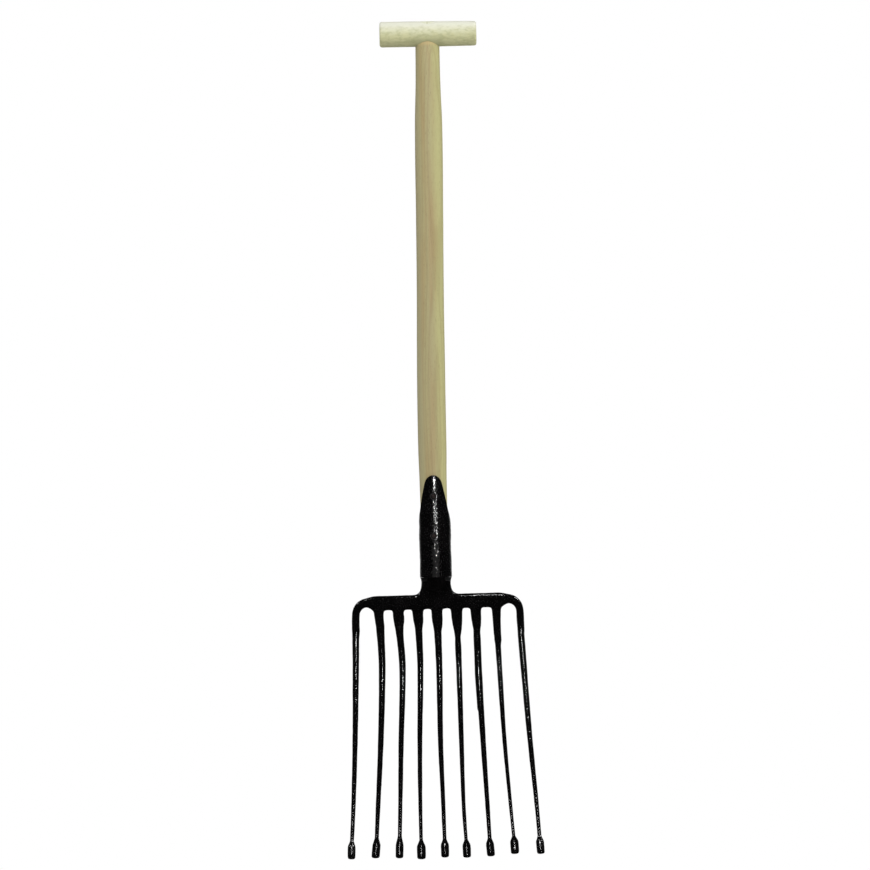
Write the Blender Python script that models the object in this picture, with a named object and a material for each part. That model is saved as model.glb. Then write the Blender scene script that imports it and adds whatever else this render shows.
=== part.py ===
"""A potato fork: a turned wooden shaft with a T grip, and a forged head with nine ball-tipped tines.

Metres, +Z up. The shaft's axis is the Z axis and the underside of the grip is at z = 0, where the
fork hangs from a pair of pegs. The hollow side of the head faces -Y, and so does the socket's tongue.
The head is built in its own frame, whose origin is the middle of the crossbar: x runs along the bar
and a drop is a distance below it.
"""
import math

import bmesh
import bpy
from mathutils import Matrix, Vector

MM = 0.001

# Fits
TOUCH_GAP = 0.3 * MM         # between two pieces that touch
OVERRUN = 2 * MM             # how far a cut runs past the face it opens

# Grip
GRIP_DIAMETER = 36.5 * MM
GRIP_LENGTH = 139 * MM
GRIP_EDGE_RADIUS = 3.5 * MM
GRIP_BELLY = 0.5 * MM        # the turned bar is this much thicker at its middle than at its ends
GRIP_TAPER = 1.6 * MM        # and its left end is this much thicker than its right end
GRIP_OFFSET = 1.0 * MM       # the middle of the bar lies this far right of the shaft

# Tenon that goes up through the grip, and the wedge that spreads it
TENON_DIAMETER = 22 * MM
WEDGE_TOP_THICKNESS = 4.5 * MM
WEDGE_TIP_THICKNESS = 1.5 * MM
WEDGE_DEPTH = 25 * MM
WEDGE_WIDTH = 19 * MM

# Shaft, with its diameters from the grip down to the end inside the socket
SHAFT_LENGTH = 738 * MM      # from the underside of the grip to the end inside the socket
SHAFT_TOP_DIAMETER = 34.0 * MM
SHAFT_TOP_DEPTH = 29.6 * MM  # shaved thinner from front to back where it meets the grip
SHAFT_SHAVE_END = 36 * MM
SHAFT_NECK_DIAMETER = 35.6 * MM
SHAFT_NECK_DROP = 50 * MM
SHAFT_SWELL_DIAMETER = 39.6 * MM
SHAFT_SWELL_DROP = 115 * MM
SHAFT_WAIST_DIAMETER = 39.0 * MM
SHAFT_WAIST_SHARE = 0.45     # place of the waist between the swell and the socket
SHAFT_LOWER_DIAMETER = 40.8 * MM
SHAFT_LOWER_LENGTH = 100 * MM
SHAFT_LOWER_SHOULDER = 35 * MM  # from the end of the thick lower length to the socket's tongue
SHAFT_MOUTH_DIAMETER = 39.2 * MM
SHAFT_END_DIAMETER = 37.4 * MM
SHAFT_END_CHAMFER = 2 * MM
SHAFT_BOW = 2.4 * MM         # how far the grown wood bows to the left between the grip and the socket
BOW_SKEW = 2.0               # over 1, it bows most below the middle

# Socket, a plate rolled round the shaft with its seam at the back and a tongue up the front
SOCKET_LENGTH = 146 * MM     # from the tongue's tip down to the rim
SOCKET_OVERHANG = 23 * MM    # from the end of the shaft down to the rim
SOCKET_TONGUE_WALL = 2.0 * MM
SOCKET_MOUTH_DIAMETER = 44.2 * MM
SOCKET_RIM_DIAMETER = 45.4 * MM
SEAM_WIDTH = 1.6 * MM
# Outline of the mouth: degrees round from the front, and how far the edge lies below the tongue's tip
MOUTH_OUTLINE = ((0, 0.0), (7, 0.3), (15, 1.6), (25, 4.6), (33, 9.5), (41, 19.5), (50, 30.5), (62, 46.0),
                 (76, 58.5), (90, 67.0), (130, 83.0), (180, 92.0))

# Nails through the front of the socket into the shaft
UPPER_NAIL_FROM_TIP = 30 * MM   # below the tongue's tip
LOWER_NAIL_FROM_RIM = 59 * MM   # above the socket's rim
LOWER_NAIL_OFFSET = 1.2 * MM  # the lower nail sits this far left of the socket's middle
NAIL_HEAD_DIAMETER = 8.4 * MM
NAIL_HEAD_THICKNESS = 1.9 * MM
NAIL_HEAD_CROWN = 0.7 * MM
NAIL_SHANK_DIAMETER = 4.0 * MM
NAIL_LENGTH = 32 * MM
NAIL_POINT = 5 * MM

# Crossbar, with the neck that carries the socket
BAR_HEIGHT = 22 * MM
BAR_DEPTH = 14 * MM
BAR_NECK_DEPTH = 20 * MM     # the bar is this deep under the neck
BAR_SETBACK = 4 * MM         # how far the bar lies behind the shaft's axis
BAR_BOW = 7 * MM             # how far the outer roots come forward of the middle of the bar
HEAD_LEAN = math.radians(0.81)
NECK_DIAMETER = 42.4 * MM
NECK_LENGTH = 24.3 * MM      # from the socket's rim down to the bar
NECK_FILLET = 7 * MM
TANG_LENGTH = 17 * MM
SHOULDER_RADIUS = 17.8 * MM  # at the middle of the arm that turns down into an outer tine
SHOULDER_LIFT = 1.6 * MM     # how far the arm's middle rises above the bar's
SHOULDER_THICKNESS = 14.4 * MM

# Tines
TINE_COUNT = 9
ROOT_PITCH = 28 * MM
OUTER_ROOT_STEP = 33.6 * MM  # from the last inner root out to the outer one
TIP_PITCH = 34 * MM
TINE_DROP = 366.6 * MM       # from the middle of the bar down to the end of the longest tine
ROOT_ANGLE = math.radians(-8)
TIP_ANGLE = math.radians(22)
ROD_WIDTH = 9.2 * MM
ROD_END_WIDTH = 4.8 * MM
ROD_FLATNESS = 1.08          # depth of the rod over its width
ROOT_TAPER_END = 64 * MM     # drop at which a root has narrowed to the rod
ROOT_FILLET = 3 * MM
UPSET = 0.45 * MM            # how far the thickened ring at each weld stands out
UPSET_SIDE = 0.35 * MM       # how far that ring is pushed to the right
UPSET_LENGTH = 9 * MM
FLANK_TINE = 7               # this rod is left thick on its left side
FLANK_WIDTH = 1.1 * MM
FLANK_RISE = 50 * MM         # length over which that side swells out
FLANK_END = 160 * MM         # drop of the small step where that side ends
FLANK_STEP = 5 * MM
BALL_WIDTH = 11.8 * MM
BALL_DEPTH = 10 * MM
BALL_LENGTH = 25 * MM
BALL_FACE = 8.8 * MM

# Drops at which the width of a root is given
ROOT_STATIONS = (16 * MM, 25 * MM, 33 * MM, 41 * MM, 52 * MM)
# How wide each hand-forged root is at those drops, left to right
ROOT_WIDTHS = (
    (10.8 * MM, 10.9 * MM, 10.3 * MM, 9.5 * MM, 9.5 * MM),
    (13.6 * MM, 11.8 * MM, 11.0 * MM, 11.3 * MM, 10.5 * MM),
    (15.1 * MM, 14.2 * MM, 12.7 * MM, 10.9 * MM, 9.7 * MM),
    (15.3 * MM, 13.6 * MM, 11.2 * MM, 10.2 * MM, 9.4 * MM),
    (15.2 * MM, 15.1 * MM, 12.7 * MM, 10.6 * MM, 10.0 * MM),
    (16.1 * MM, 15.1 * MM, 13.5 * MM, 10.0 * MM, 7.9 * MM),
    (14.8 * MM, 14.0 * MM, 12.0 * MM, 9.6 * MM, 9.9 * MM),
    (12.6 * MM, 11.4 * MM, 10.7 * MM, 10.4 * MM, 10.0 * MM),
    (10.5 * MM, 10.3 * MM, 9.9 * MM, 8.7 * MM, 9.1 * MM),
)
# Drop of the weld between each root and its tine, left to right
WELD_DROPS = (40 * MM, 31 * MM, 24.5 * MM, 29.5 * MM, 34.5 * MM, 42 * MM, 37.5 * MM, 58 * MM, 41 * MM)
# How much each tine falls short of the longest one, left to right
SHORTFALLS = (3.1 * MM, 3.5 * MM, 2.4 * MM, 0.0 * MM, 1.6 * MM, 0.3 * MM, 1.2 * MM, 3.6 * MM, 2.6 * MM)
# Where along a tine its stray from the even fan is given, as shares of the whole drop
STRAY_STATIONS = (0.045, 0.115, 0.26, 0.55, 0.8, 0.98)
# How far each hand-drawn tine strays sideways from the even fan at those stations, left to right
STRAY = (
    (2.0 * MM, 2.7 * MM, 3.8 * MM, 4.9 * MM, 4.4 * MM, 2.9 * MM),
    (1.5 * MM, 4.6 * MM, 8.0 * MM, 7.9 * MM, 5.8 * MM, 4.4 * MM),
    (1.3 * MM, 3.4 * MM, 7.7 * MM, 5.9 * MM, 5.0 * MM, 4.0 * MM),
    (1.1 * MM, 2.2 * MM, 3.8 * MM, 1.5 * MM, 1.0 * MM, 1.6 * MM),
    (0.3 * MM, 0.7 * MM, 1.3 * MM, 0.0 * MM, 1.1 * MM, 1.7 * MM),
    (0.4 * MM, 0.4 * MM, 0.1 * MM, -1.4 * MM, -2.5 * MM, -0.9 * MM),
    (-0.2 * MM, -0.7 * MM, -1.5 * MM, -1.6 * MM, -1.2 * MM, -1.1 * MM),
    (1.0 * MM, -0.1 * MM, -1.0 * MM, -2.2 * MM, -1.0 * MM, 0.4 * MM),
    (1.2 * MM, 0.1 * MM, 0.0 * MM, 0.6 * MM, 2.5 * MM, 2.9 * MM),
)
# How stout each rod is beside the usual one, left to right
STOUTNESS = (1.0, 1.1, 1.03, 0.96, 1.02, 0.94, 1.08, 0.84, 1.0)
# How wide each ball is beside the usual one, left to right
BALL_STOUTNESS = (0.96, 1.02, 0.97, 1.08, 0.99, 1.01, 0.99, 1.03, 0.98)

# Facets
SHAFT_SIDES = 36
GRIP_SIDES = 36
NAIL_SIDES = 16
TINE_SIDES = 10
ARC_STEPS = 4
ROD_STEPS = 8


def clear_scene():
    for obj in list(bpy.data.objects):
        bpy.data.objects.remove(obj)


def material(name, colour, roughness, metallic=0.0):
    made = bpy.data.materials.new(name)
    made.use_nodes = True
    shader = made.node_tree.nodes["Principled BSDF"]
    shader.inputs["Base Color"].default_value = (*colour, 1.0)
    shader.inputs["Roughness"].default_value = roughness
    shader.inputs["Metallic"].default_value = metallic
    made.diffuse_color = (*colour, 1.0)
    return made


def add_object(name, bm, finish=None):
    """Make an object of a bmesh, with its faces pointing out and its round sides shaded smooth."""
    bmesh.ops.recalc_face_normals(bm, faces=bm.faces)
    mesh = bpy.data.meshes.new(name)
    bm.to_mesh(mesh)
    bm.free()
    mesh.shade_smooth()
    mesh.set_sharp_from_angle(angle=math.radians(35))
    obj = bpy.data.objects.new(name, mesh)
    bpy.context.scene.collection.objects.link(obj)
    if finish:
        mesh.materials.append(finish)
    return obj


def helper(name, bm):
    """A solid that only shapes other solids."""
    obj = add_object(name, bm)
    obj.hide_render = True
    obj.display_type = "WIRE"
    return obj


def boolean(obj, operation, other):
    modifier = obj.modifiers.new(operation.title() + " " + other.name, "BOOLEAN")
    modifier.operation = operation
    modifier.object = other


def between(low, high, share):
    return low + (high - low) * share


def smooth_value(stations, values, at):
    """A smooth curve through values given at rising stations."""
    if at <= stations[0]:
        return values[0]
    if at >= stations[-1]:
        return values[-1]
    last = len(stations) - 1
    k = max(i for i in range(last) if stations[i] <= at)

    def slope(i):
        low, high = max(i - 1, 0), min(i + 1, last)
        return (values[high] - values[low]) / (stations[high] - stations[low])

    span = stations[k + 1] - stations[k]
    t = (at - stations[k]) / span
    return (
        (2 * t**3 - 3 * t**2 + 1) * values[k]
        + (t**3 - 2 * t**2 + t) * span * slope(k)
        + (3 * t**2 - 2 * t**3) * values[k + 1]
        + (t**3 - t**2) * span * slope(k + 1)
    )


def join_loops(bm, first, second):
    """Quads between two closed loops that have as many points."""
    count = len(first)
    for i in range(count):
        j = (i + 1) % count
        bm.faces.new((first[i], first[j], second[j], second[i]))


def loft(loops):
    """A closed solid through loops of points, with a flat face at each end."""
    bm = bmesh.new()
    rings = [[bm.verts.new(point) for point in loop] for loop in loops]
    for first, second in zip(rings, rings[1:]):
        join_loops(bm, first, second)
    bm.faces.new(rings[0])
    bm.faces.new(rings[-1])
    return bm


def turned(profile, sides, start=Vector((0, 0, 0)), along=Vector((0, 0, 1))):
    """A turned solid: a profile of (distance along the axis, radius) pairs, flat at both ends."""
    along = along.normalized()
    side = along.orthogonal().normalized()
    other = along.cross(side)
    angles = [math.tau * i / sides for i in range(sides)]
    return loft(
        [
            [start + along * distance + (side * math.cos(a) + other * math.sin(a)) * radius for a in angles]
            for distance, radius in profile
        ]
    )


def box_outline(bm, outline, half_width):
    """A prism along X of an outline of (y, z) points."""
    left = [bm.verts.new((-half_width, y, z)) for y, z in outline]
    right = [bm.verts.new((half_width, y, z)) for y, z in outline]
    join_loops(bm, left, right)
    bm.faces.new(left)
    bm.faces.new(right)
    return bm


# Distances below the grip: the socket's rim and tongue, and the middle of the bar
SOCKET_RIM = SHAFT_LENGTH + SOCKET_OVERHANG
TONGUE_TIP = SOCKET_RIM - SOCKET_LENGTH
BAR_MIDDLE = SOCKET_RIM + NECK_LENGTH + BAR_HEIGHT / 2


# Shaft

SHAFT_LOWER_END = TONGUE_TIP - SHAFT_LOWER_SHOULDER
SHAFT_STATIONS = (
    (-GRIP_DIAMETER, SHAFT_TOP_DIAMETER),
    (SHAFT_NECK_DROP, SHAFT_NECK_DIAMETER),
    (SHAFT_SWELL_DROP, SHAFT_SWELL_DIAMETER),
    (between(SHAFT_SWELL_DROP, TONGUE_TIP, SHAFT_WAIST_SHARE), SHAFT_WAIST_DIAMETER),
    (SHAFT_LOWER_END - SHAFT_LOWER_LENGTH, SHAFT_LOWER_DIAMETER),
    (SHAFT_LOWER_END, SHAFT_LOWER_DIAMETER),
    (TONGUE_TIP, SHAFT_MOUTH_DIAMETER),
    (SHAFT_LENGTH, SHAFT_END_DIAMETER),
)


def shaft_radius(drop):
    """Radius of the shaft at a distance below the grip."""
    stations = [station for station, _ in SHAFT_STATIONS]
    diameters = [diameter for _, diameter in SHAFT_STATIONS]
    return smooth_value(stations, diameters, drop) / 2


def axis_x(drop):
    """Sideways place of the shaft's middle, which bows between the grip and its end in the socket."""
    share = min(max(drop / SHAFT_LENGTH, 0.0), 1.0)
    return -SHAFT_BOW * math.sin(math.pi * share**BOW_SKEW)


def shaved(drop):
    """Depth of the shaft over its width, at a distance below the grip."""
    share = min(max(drop / SHAFT_SHAVE_END, 0.0), 1.0)
    return between(SHAFT_TOP_DEPTH / SHAFT_TOP_DIAMETER, 1.0, share * (2 - share))


def grip_arch(radius, y):
    """Height of the round top of a bar lying along X at the grip's place."""
    return GRIP_DIAMETER / 2 + math.sqrt(max(radius**2 - y**2, 0.0))


def arch_outline(half_width, bottom, radius, steps):
    """(y, z) points of a prism's outline with the grip's round top and an open width below it."""
    tops = [between(half_width, -half_width, i / steps) for i in range(steps + 1)]
    return [(-half_width, bottom), (half_width, bottom)] + [(y, grip_arch(radius, y)) for y in tops]


def make_grip(finish):
    half = GRIP_LENGTH / 2

    def radius_at(distance):
        share = distance / half
        return (GRIP_DIAMETER - GRIP_BELLY * share**2 - GRIP_TAPER / 2 * share) / 2

    right = [(distance, radius_at(distance)) for distance in (0.0, half / 2)]
    left = [(-half / 2, radius_at(-half / 2))]
    for i in range(ARC_STEPS + 1):
        angle = math.pi / 2 * i / ARC_STEPS
        distance = half - GRIP_EDGE_RADIUS * (1 - math.sin(angle))
        cut = GRIP_EDGE_RADIUS * (1 - math.cos(angle))
        right.append((distance, radius_at(half) - cut))
        left.insert(0, (-distance, radius_at(-half) - cut))
    axis_start = Vector((GRIP_OFFSET, 0, GRIP_DIAMETER / 2))
    grip = add_object("grip", turned(left + right, GRIP_SIDES, axis_start, Vector((1, 0, 0))), finish)
    bore_radius = TENON_DIAMETER / 2 + TOUCH_GAP
    bore = turned(((-OVERRUN, bore_radius), (GRIP_DIAMETER + OVERRUN, bore_radius)), SHAFT_SIDES)
    boolean(grip, "DIFFERENCE", helper("grip_bore", bore))
    return grip


def make_shaft(finish):
    # The body runs up past the grip's underside, and is then coped to sit round it.
    drops = [OVERRUN - GRIP_DIAMETER / 2, 0.0, SHAFT_SHAVE_END / 3, SHAFT_SHAVE_END * 2 / 3]
    for (above, _), (below, _) in zip(SHAFT_STATIONS[1:], SHAFT_STATIONS[2:]):
        drops += [above, between(above, below, 0.5)]
    drops.append(SHAFT_LENGTH - SHAFT_END_CHAMFER)
    profile = [(-drop, shaft_radius(drop)) for drop in drops]
    profile.append((-SHAFT_LENGTH, shaft_radius(SHAFT_LENGTH) - SHAFT_END_CHAMFER))
    body = turned(profile, SHAFT_SIDES)
    for vert in body.verts:
        vert.co.x += axis_x(-vert.co.z)
        vert.co.y *= shaved(-vert.co.z)
    shaft = add_object("shaft", body, finish)

    cope_radius = GRIP_DIAMETER / 2 + TOUCH_GAP
    half = SHAFT_TOP_DIAMETER
    cope = turned(
        ((-half, cope_radius), (half, cope_radius)),
        2 * GRIP_SIDES,
        Vector((0, 0, GRIP_DIAMETER / 2)),
        Vector((1, 0, 0)),
    )
    boolean(shaft, "DIFFERENCE", helper("grip_cope", cope))

    # The tenon's end is trimmed flush with the round top of the grip.
    tenon_radius = TENON_DIAMETER / 2
    tenon = helper(
        "tenon", turned(((-TENON_DIAMETER, tenon_radius), (2 * GRIP_DIAMETER, tenon_radius)), SHAFT_SIDES)
    )
    envelope = box_outline(
        bmesh.new(),
        arch_outline(tenon_radius + OVERRUN, -2 * TENON_DIAMETER, GRIP_DIAMETER / 2, 12),
        TENON_DIAMETER,
    )
    boolean(tenon, "INTERSECT", helper("tenon_envelope", envelope))
    boolean(shaft, "UNION", tenon)
    boolean(shaft, "DIFFERENCE", helper("wedge_slot", wedge_shape(TOUCH_GAP, TENON_DIAMETER, OVERRUN)))
    return shaft


def wedge_shape(clearance, width, rise):
    """The wedge, or with a clearance and a rise the saw cut that takes it."""
    top = GRIP_DIAMETER + rise
    tip = GRIP_DIAMETER - WEDGE_DEPTH - clearance
    growth = (WEDGE_TOP_THICKNESS - WEDGE_TIP_THICKNESS) / 2 / WEDGE_DEPTH
    bm = bmesh.new()
    if rise:
        outline = [(-width, tip), (width, tip), (width, top), (-width, top)]
    else:
        outline = arch_outline(width / 2, tip, GRIP_DIAMETER / 2, 6)
    box_outline(bm, outline, 1.0)
    for vert in bm.verts:
        half = WEDGE_TIP_THICKNESS / 2 + growth * (vert.co.z - GRIP_DIAMETER + WEDGE_DEPTH) + clearance
        vert.co.x *= half
    return bm


def make_wedge(finish):
    return add_object("grip_wedge", wedge_shape(0.0, WEDGE_WIDTH, 0.0), finish)


# Socket and its nails

SOCKET_MOUTH = TONGUE_TIP + dict(MOUTH_OUTLINE)[90] * MM


def socket_inner(drop):
    return shaft_radius(min(drop, SHAFT_LENGTH)) + TOUCH_GAP


def socket_outer(drop):
    """The plate thickens from the tongue down to the rim."""
    if drop >= SOCKET_MOUTH:
        share = (drop - SOCKET_MOUTH) / (SOCKET_RIM - SOCKET_MOUTH)
        return between(SOCKET_MOUTH_DIAMETER, SOCKET_RIM_DIAMETER, share) / 2
    share = (drop - TONGUE_TIP) / (SOCKET_MOUTH - TONGUE_TIP)
    return between(socket_inner(TONGUE_TIP) + SOCKET_TONGUE_WALL, SOCKET_MOUTH_DIAMETER / 2, share)


def mouth_drop(angle):
    """Distance of the mouth's edge below the grip, at an angle round from the front."""
    angles = [math.radians(degrees) for degrees, _ in MOUTH_OUTLINE]
    drops = [TONGUE_TIP + drop * MM for _, drop in MOUTH_OUTLINE]
    return smooth_value(angles, drops, abs(angle))


def make_socket(finish):
    seam_angle = SEAM_WIDTH / SOCKET_RIM_DIAMETER
    last = math.pi - seam_angle
    fine_steps, coarse_steps = 12, 9
    fine_end = math.radians(72)
    half = [fine_end * i / fine_steps for i in range(fine_steps)]
    half += [between(fine_end, last, i / coarse_steps) for i in range(coarse_steps + 1)]
    angles = [-angle for angle in reversed(half[1:])] + half
    rows = 7

    def point(angle, share, radius_at):
        drop = between(SOCKET_RIM, mouth_drop(angle), share)
        radius = radius_at(drop)
        return Vector((axis_x(drop) + radius * math.sin(angle), -radius * math.cos(angle), -drop))

    def sheet(bm, radius_at):
        return [
            [bm.verts.new(point(angle, i / rows, radius_at)) for i in range(rows + 1)] for angle in angles
        ]

    bm = bmesh.new()
    outer = sheet(bm, socket_outer)
    inner = sheet(bm, socket_inner)
    for columns in (outer, inner):
        for left, right in zip(columns, columns[1:]):
            for i in range(rows):
                bm.faces.new((left[i], right[i], right[i + 1], left[i + 1]))
    for i in (0, rows):
        for a, b, c, d in zip(outer, outer[1:], inner, inner[1:]):
            bm.faces.new((a[i], b[i], d[i], c[i]))
    for column in (0, -1):
        for i in range(rows):
            first, second = outer[column], inner[column]
            bm.faces.new((first[i], first[i + 1], second[i + 1], second[i]))
    return add_object("socket", bm, finish)


# The crown of a nail's head: share of its height, and share of the head's radius
NAIL_CROWN_FORM = ((1.0, 0.45), (0.6, 0.8), (0.0, 1.0))


def nail_profile(clearance, crown):
    """Countersunk head, shank and point, along the nail from the outer face of its head."""
    head = NAIL_HEAD_DIAMETER / 2 + clearance
    shank = NAIL_SHANK_DIAMETER / 2 + clearance
    profile = [(-crown * height, head * radius) for height, radius in NAIL_CROWN_FORM]
    profile += [(NAIL_HEAD_THICKNESS + clearance, shank), (NAIL_LENGTH - NAIL_POINT, shank)]
    profile += [(NAIL_LENGTH + clearance, shank * 0.25)]
    return profile


def make_nail(name, drop, offset, shaft, socket, finish):
    """A nail whose head sits flush in a countersink, with the hole for it in the socket and the shaft."""
    face = Vector((axis_x(drop) + offset, -socket_outer(drop), -drop))
    inward = Vector((0, 1, 0))
    nail = add_object(name, turned(nail_profile(0.0, NAIL_HEAD_CROWN), NAIL_SIDES, face, inward), finish)
    cut = nail_profile(TOUCH_GAP, 0.0)[len(NAIL_CROWN_FORM) - 1:]
    head = cut[0][1]
    cut.insert(0, (-OVERRUN, head))
    hole = helper(name + "_hole", turned(cut, NAIL_SIDES, face, inward))
    boolean(shaft, "DIFFERENCE", hole)
    boolean(socket, "DIFFERENCE", hole)
    return nail


# Head

NECK_REACH = NECK_DIAMETER / 2 + NECK_FILLET


def side_of(number):
    """-1 for tines left of the middle one, 0 for the middle one and 1 for those right of it."""
    middle = (TINE_COUNT + 1) // 2
    return (number > middle) - (number < middle)


def is_outer(number):
    return number in (1, TINE_COUNT)


def fan_place(number, share):
    """Sideways place of a tine in the even fan, at a share of the drop."""
    steps = number - (TINE_COUNT + 1) / 2
    root = steps * ROOT_PITCH
    if is_outer(number):
        root += side_of(number) * (OUTER_ROOT_STEP - ROOT_PITCH)
    return between(root, steps * TIP_PITCH, share)


def tine_point(number, drop):
    """The middle of a tine at a drop, in the head's frame."""
    share = drop / TINE_DROP
    x = fan_place(number, share) + smooth_value(STRAY_STATIONS, STRAY[number - 1], share)
    # The tines follow one arc, seen from the side, which leans back at the roots and forward at the tips.
    radius = TINE_DROP / (math.sin(TIP_ANGLE) - math.sin(ROOT_ANGLE))
    angle = math.asin(math.sin(ROOT_ANGLE) + drop / radius)
    sweep = radius * (math.cos(angle) - math.cos(ROOT_ANGLE))
    return Vector((x, bar_y(fan_place(number, 0)) + sweep, -drop))


def bar_y(x):
    """Depth of the bar's middle: it bows so that its ends come forward."""
    return BAR_SETBACK - BAR_BOW * (x / fan_place(TINE_COUNT, 0)) ** 2


def bar_depth(x):
    """The bar swells from front to back under the neck."""
    share = min(abs(x) / NECK_REACH, 1.0)
    return between(BAR_NECK_DEPTH, BAR_DEPTH, share**2 * (3 - 2 * share))


def tine_frame(number, drop):
    """Middle of a tine at a drop, with unit vectors across it and through its depth."""
    step = 1 * MM
    middle = tine_point(number, drop)
    ahead = tine_point(number, min(drop + step, TINE_DROP))
    behind = tine_point(number, drop - step)
    along = (ahead - behind).normalized()
    across = (Vector((1, 0, 0)) - along * along.x).normalized()
    return middle, across, across.cross(along)


def root_share(drop):
    """1 at the underside of the bar, falling to 0 where the root has narrowed to the rod."""
    length = ROOT_TAPER_END - BAR_HEIGHT / 2
    return min(max((ROOT_TAPER_END - drop) / length, 0.0), 1.0) ** 1.2


def rod_width(number, drop):
    share = max(drop - ROOT_TAPER_END, 0) / (TINE_DROP - ROOT_TAPER_END)
    return between(ROD_WIDTH, ROD_END_WIDTH, share) * STOUTNESS[number - 1]


def half_width(number, drop):
    """Half the width of a tine's root or, below it, of its rod."""
    if drop > ROOT_TAPER_END:
        return rod_width(number, drop) / 2
    stations = (*ROOT_STATIONS, ROOT_TAPER_END)
    widths = (*ROOT_WIDTHS[number - 1], rod_width(number, ROOT_TAPER_END))
    return smooth_value(stations, widths, drop) / 2


def half_depth(number, drop):
    return between(rod_width(number, drop) * ROD_FLATNESS, BAR_DEPTH - 2 * UPSET, root_share(drop)) / 2


def cage_growth(sides):
    """How much larger a regular loop of a subdivision cage is than the loop that comes out of it."""
    return 1 / (0.75 + 0.25 * math.cos(math.tau / sides))


def weld_swell(number, drop):
    """How far the thickened ring at a tine's weld stands out at a drop."""
    away = abs(drop - WELD_DROPS[number - 1]) / UPSET_LENGTH
    return UPSET * max(1 - away**2, 0.0)


def flank(number, drop):
    """How much a rod is widened at a drop, on its left side only."""
    if number != FLANK_TINE or not ROOT_TAPER_END < drop < FLANK_END:
        return 0.0
    return FLANK_WIDTH * min((drop - ROOT_TAPER_END) / FLANK_RISE, 1.0)


def tine_loop(number, drop, wide, deep, sides, growth=1.0):
    """An oval loop of points square to a tine at a drop, from its right round by way of the front."""
    middle, across, through = tine_frame(number, drop)
    extra = flank(number, drop) / 2
    wide += extra
    middle += across * (UPSET_SIDE * weld_swell(number, drop) / UPSET - extra)
    loop = []
    for i in range(sides):
        angle = math.tau * i / sides
        side = across * (wide * math.cos(angle)) - through * (deep * math.sin(angle))
        loop.append(middle + side * growth)
    return loop


def root_loop(number, drop):
    """Eight cage points round the root of a tine."""
    swell = weld_swell(number, drop)
    wide = half_width(number, drop) + swell
    deep = half_depth(number, drop) + swell
    return tine_loop(number, drop, wide, deep, len(SECTION), cage_growth(len(SECTION)))


# Order of the eight points of a bar section: how far through the depth, and how far up, front first.
SECTION = ((-1, -1), (0, -1), (1, -1), (1, 0), (1, 1), (0, 1), (-1, 1), (-1, 0))
UNDERSIDE = (0, 1)           # the sides of a section that face down, and those that face up
TOPSIDE = (4, 5)
CORNER = 0.9                 # how square the corners of a section are


def section_loop(middle, up, half_high, half_deep):
    """The eight cage points of a section, square to the bar."""
    loop = []
    for through, rise in SECTION:
        corner = CORNER if through and rise else 1.0
        loop.append(middle + Vector((0, through * half_deep * corner, 0)) + up * (rise * half_high * corner))
    return loop


def arm_sections(number):
    """Sections of the arm that turns down into an outer tine, from the bar to the weld."""
    side = side_of(number)
    turn_drop = SHOULDER_RADIUS - SHOULDER_LIFT
    x = tine_point(number, turn_drop).x - side * SHOULDER_RADIUS
    sections = []
    for i in range(ARC_STEPS + 1):
        share = i / ARC_STEPS
        angle = math.pi / 2 * share
        up = Vector((side * math.sin(angle), 0, math.cos(angle)))
        middle = Vector((x, 0, -turn_drop)) + up * SHOULDER_RADIUS
        middle.y = between(bar_y(x), tine_point(number, turn_drop).y, share)
        thick = between(SHOULDER_THICKNESS / 2, half_width(number, turn_drop), share)
        deep = between(BAR_DEPTH / 2, half_depth(number, turn_drop), share)
        sections.append(section_loop(middle, up, thick, deep))
    for share in (0.45, 1.0):
        loop = root_loop(number, between(turn_drop, WELD_DROPS[number - 1], share))
        # A section starts at its front and inner corner.
        if side > 0:
            sections.append([loop[(3 + i) % len(SECTION)] for i in range(len(SECTION))])
        else:
            sections.append([loop[(1 - i) % len(SECTION)] for i in range(len(SECTION))])
    return sections


def sharpen(bm, loop):
    """Keep the edges of a loop sharp when the cage is rounded."""
    crease = bm.edges.layers.float.get("crease_edge") or bm.edges.layers.float.new("crease_edge")
    for a, b in zip(loop, loop[1:] + loop[:1]):
        bm.edges.get((a, b))[crease] = 1.0


def grow(bm, loop, points, sharp=False):
    """Extend an open loop of the cage to a new loop of points, and return the new one."""
    following = [bm.verts.new(point) for point in points]
    join_loops(bm, loop, following)
    if sharp:
        sharpen(bm, following)
    return following


def close(bm, loop):
    """End an open loop of the cage in a flat face with a sharp edge."""
    bm.faces.new(loop)
    sharpen(bm, loop)


# The cage's rows down a root, as shares of the way from its fillet to its weld
ROOT_ROWS = (0.0, 0.4, 0.72, 1.0)


def grow_root(bm, number, left, middle, right):
    """A root, grown down from the opening between three sections of the bar."""
    loop = [right[1], right[0], middle[0], left[0], left[1], left[2], middle[2], right[2]]
    under_bar = BAR_HEIGHT / 2
    weld = WELD_DROPS[number - 1]
    for share in ROOT_ROWS:
        loop = grow(bm, loop, root_loop(number, between(under_bar + ROOT_FILLET, weld, share)))
    close(bm, loop)


# The neck, from the bar up: share of its height, share of its swell from the bar's depth, and its flare
NECK_FORM = ((0.2, 0.22, 1.07), (0.48, 0.55, 1.01), (0.78, 0.88, 1.0))


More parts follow.
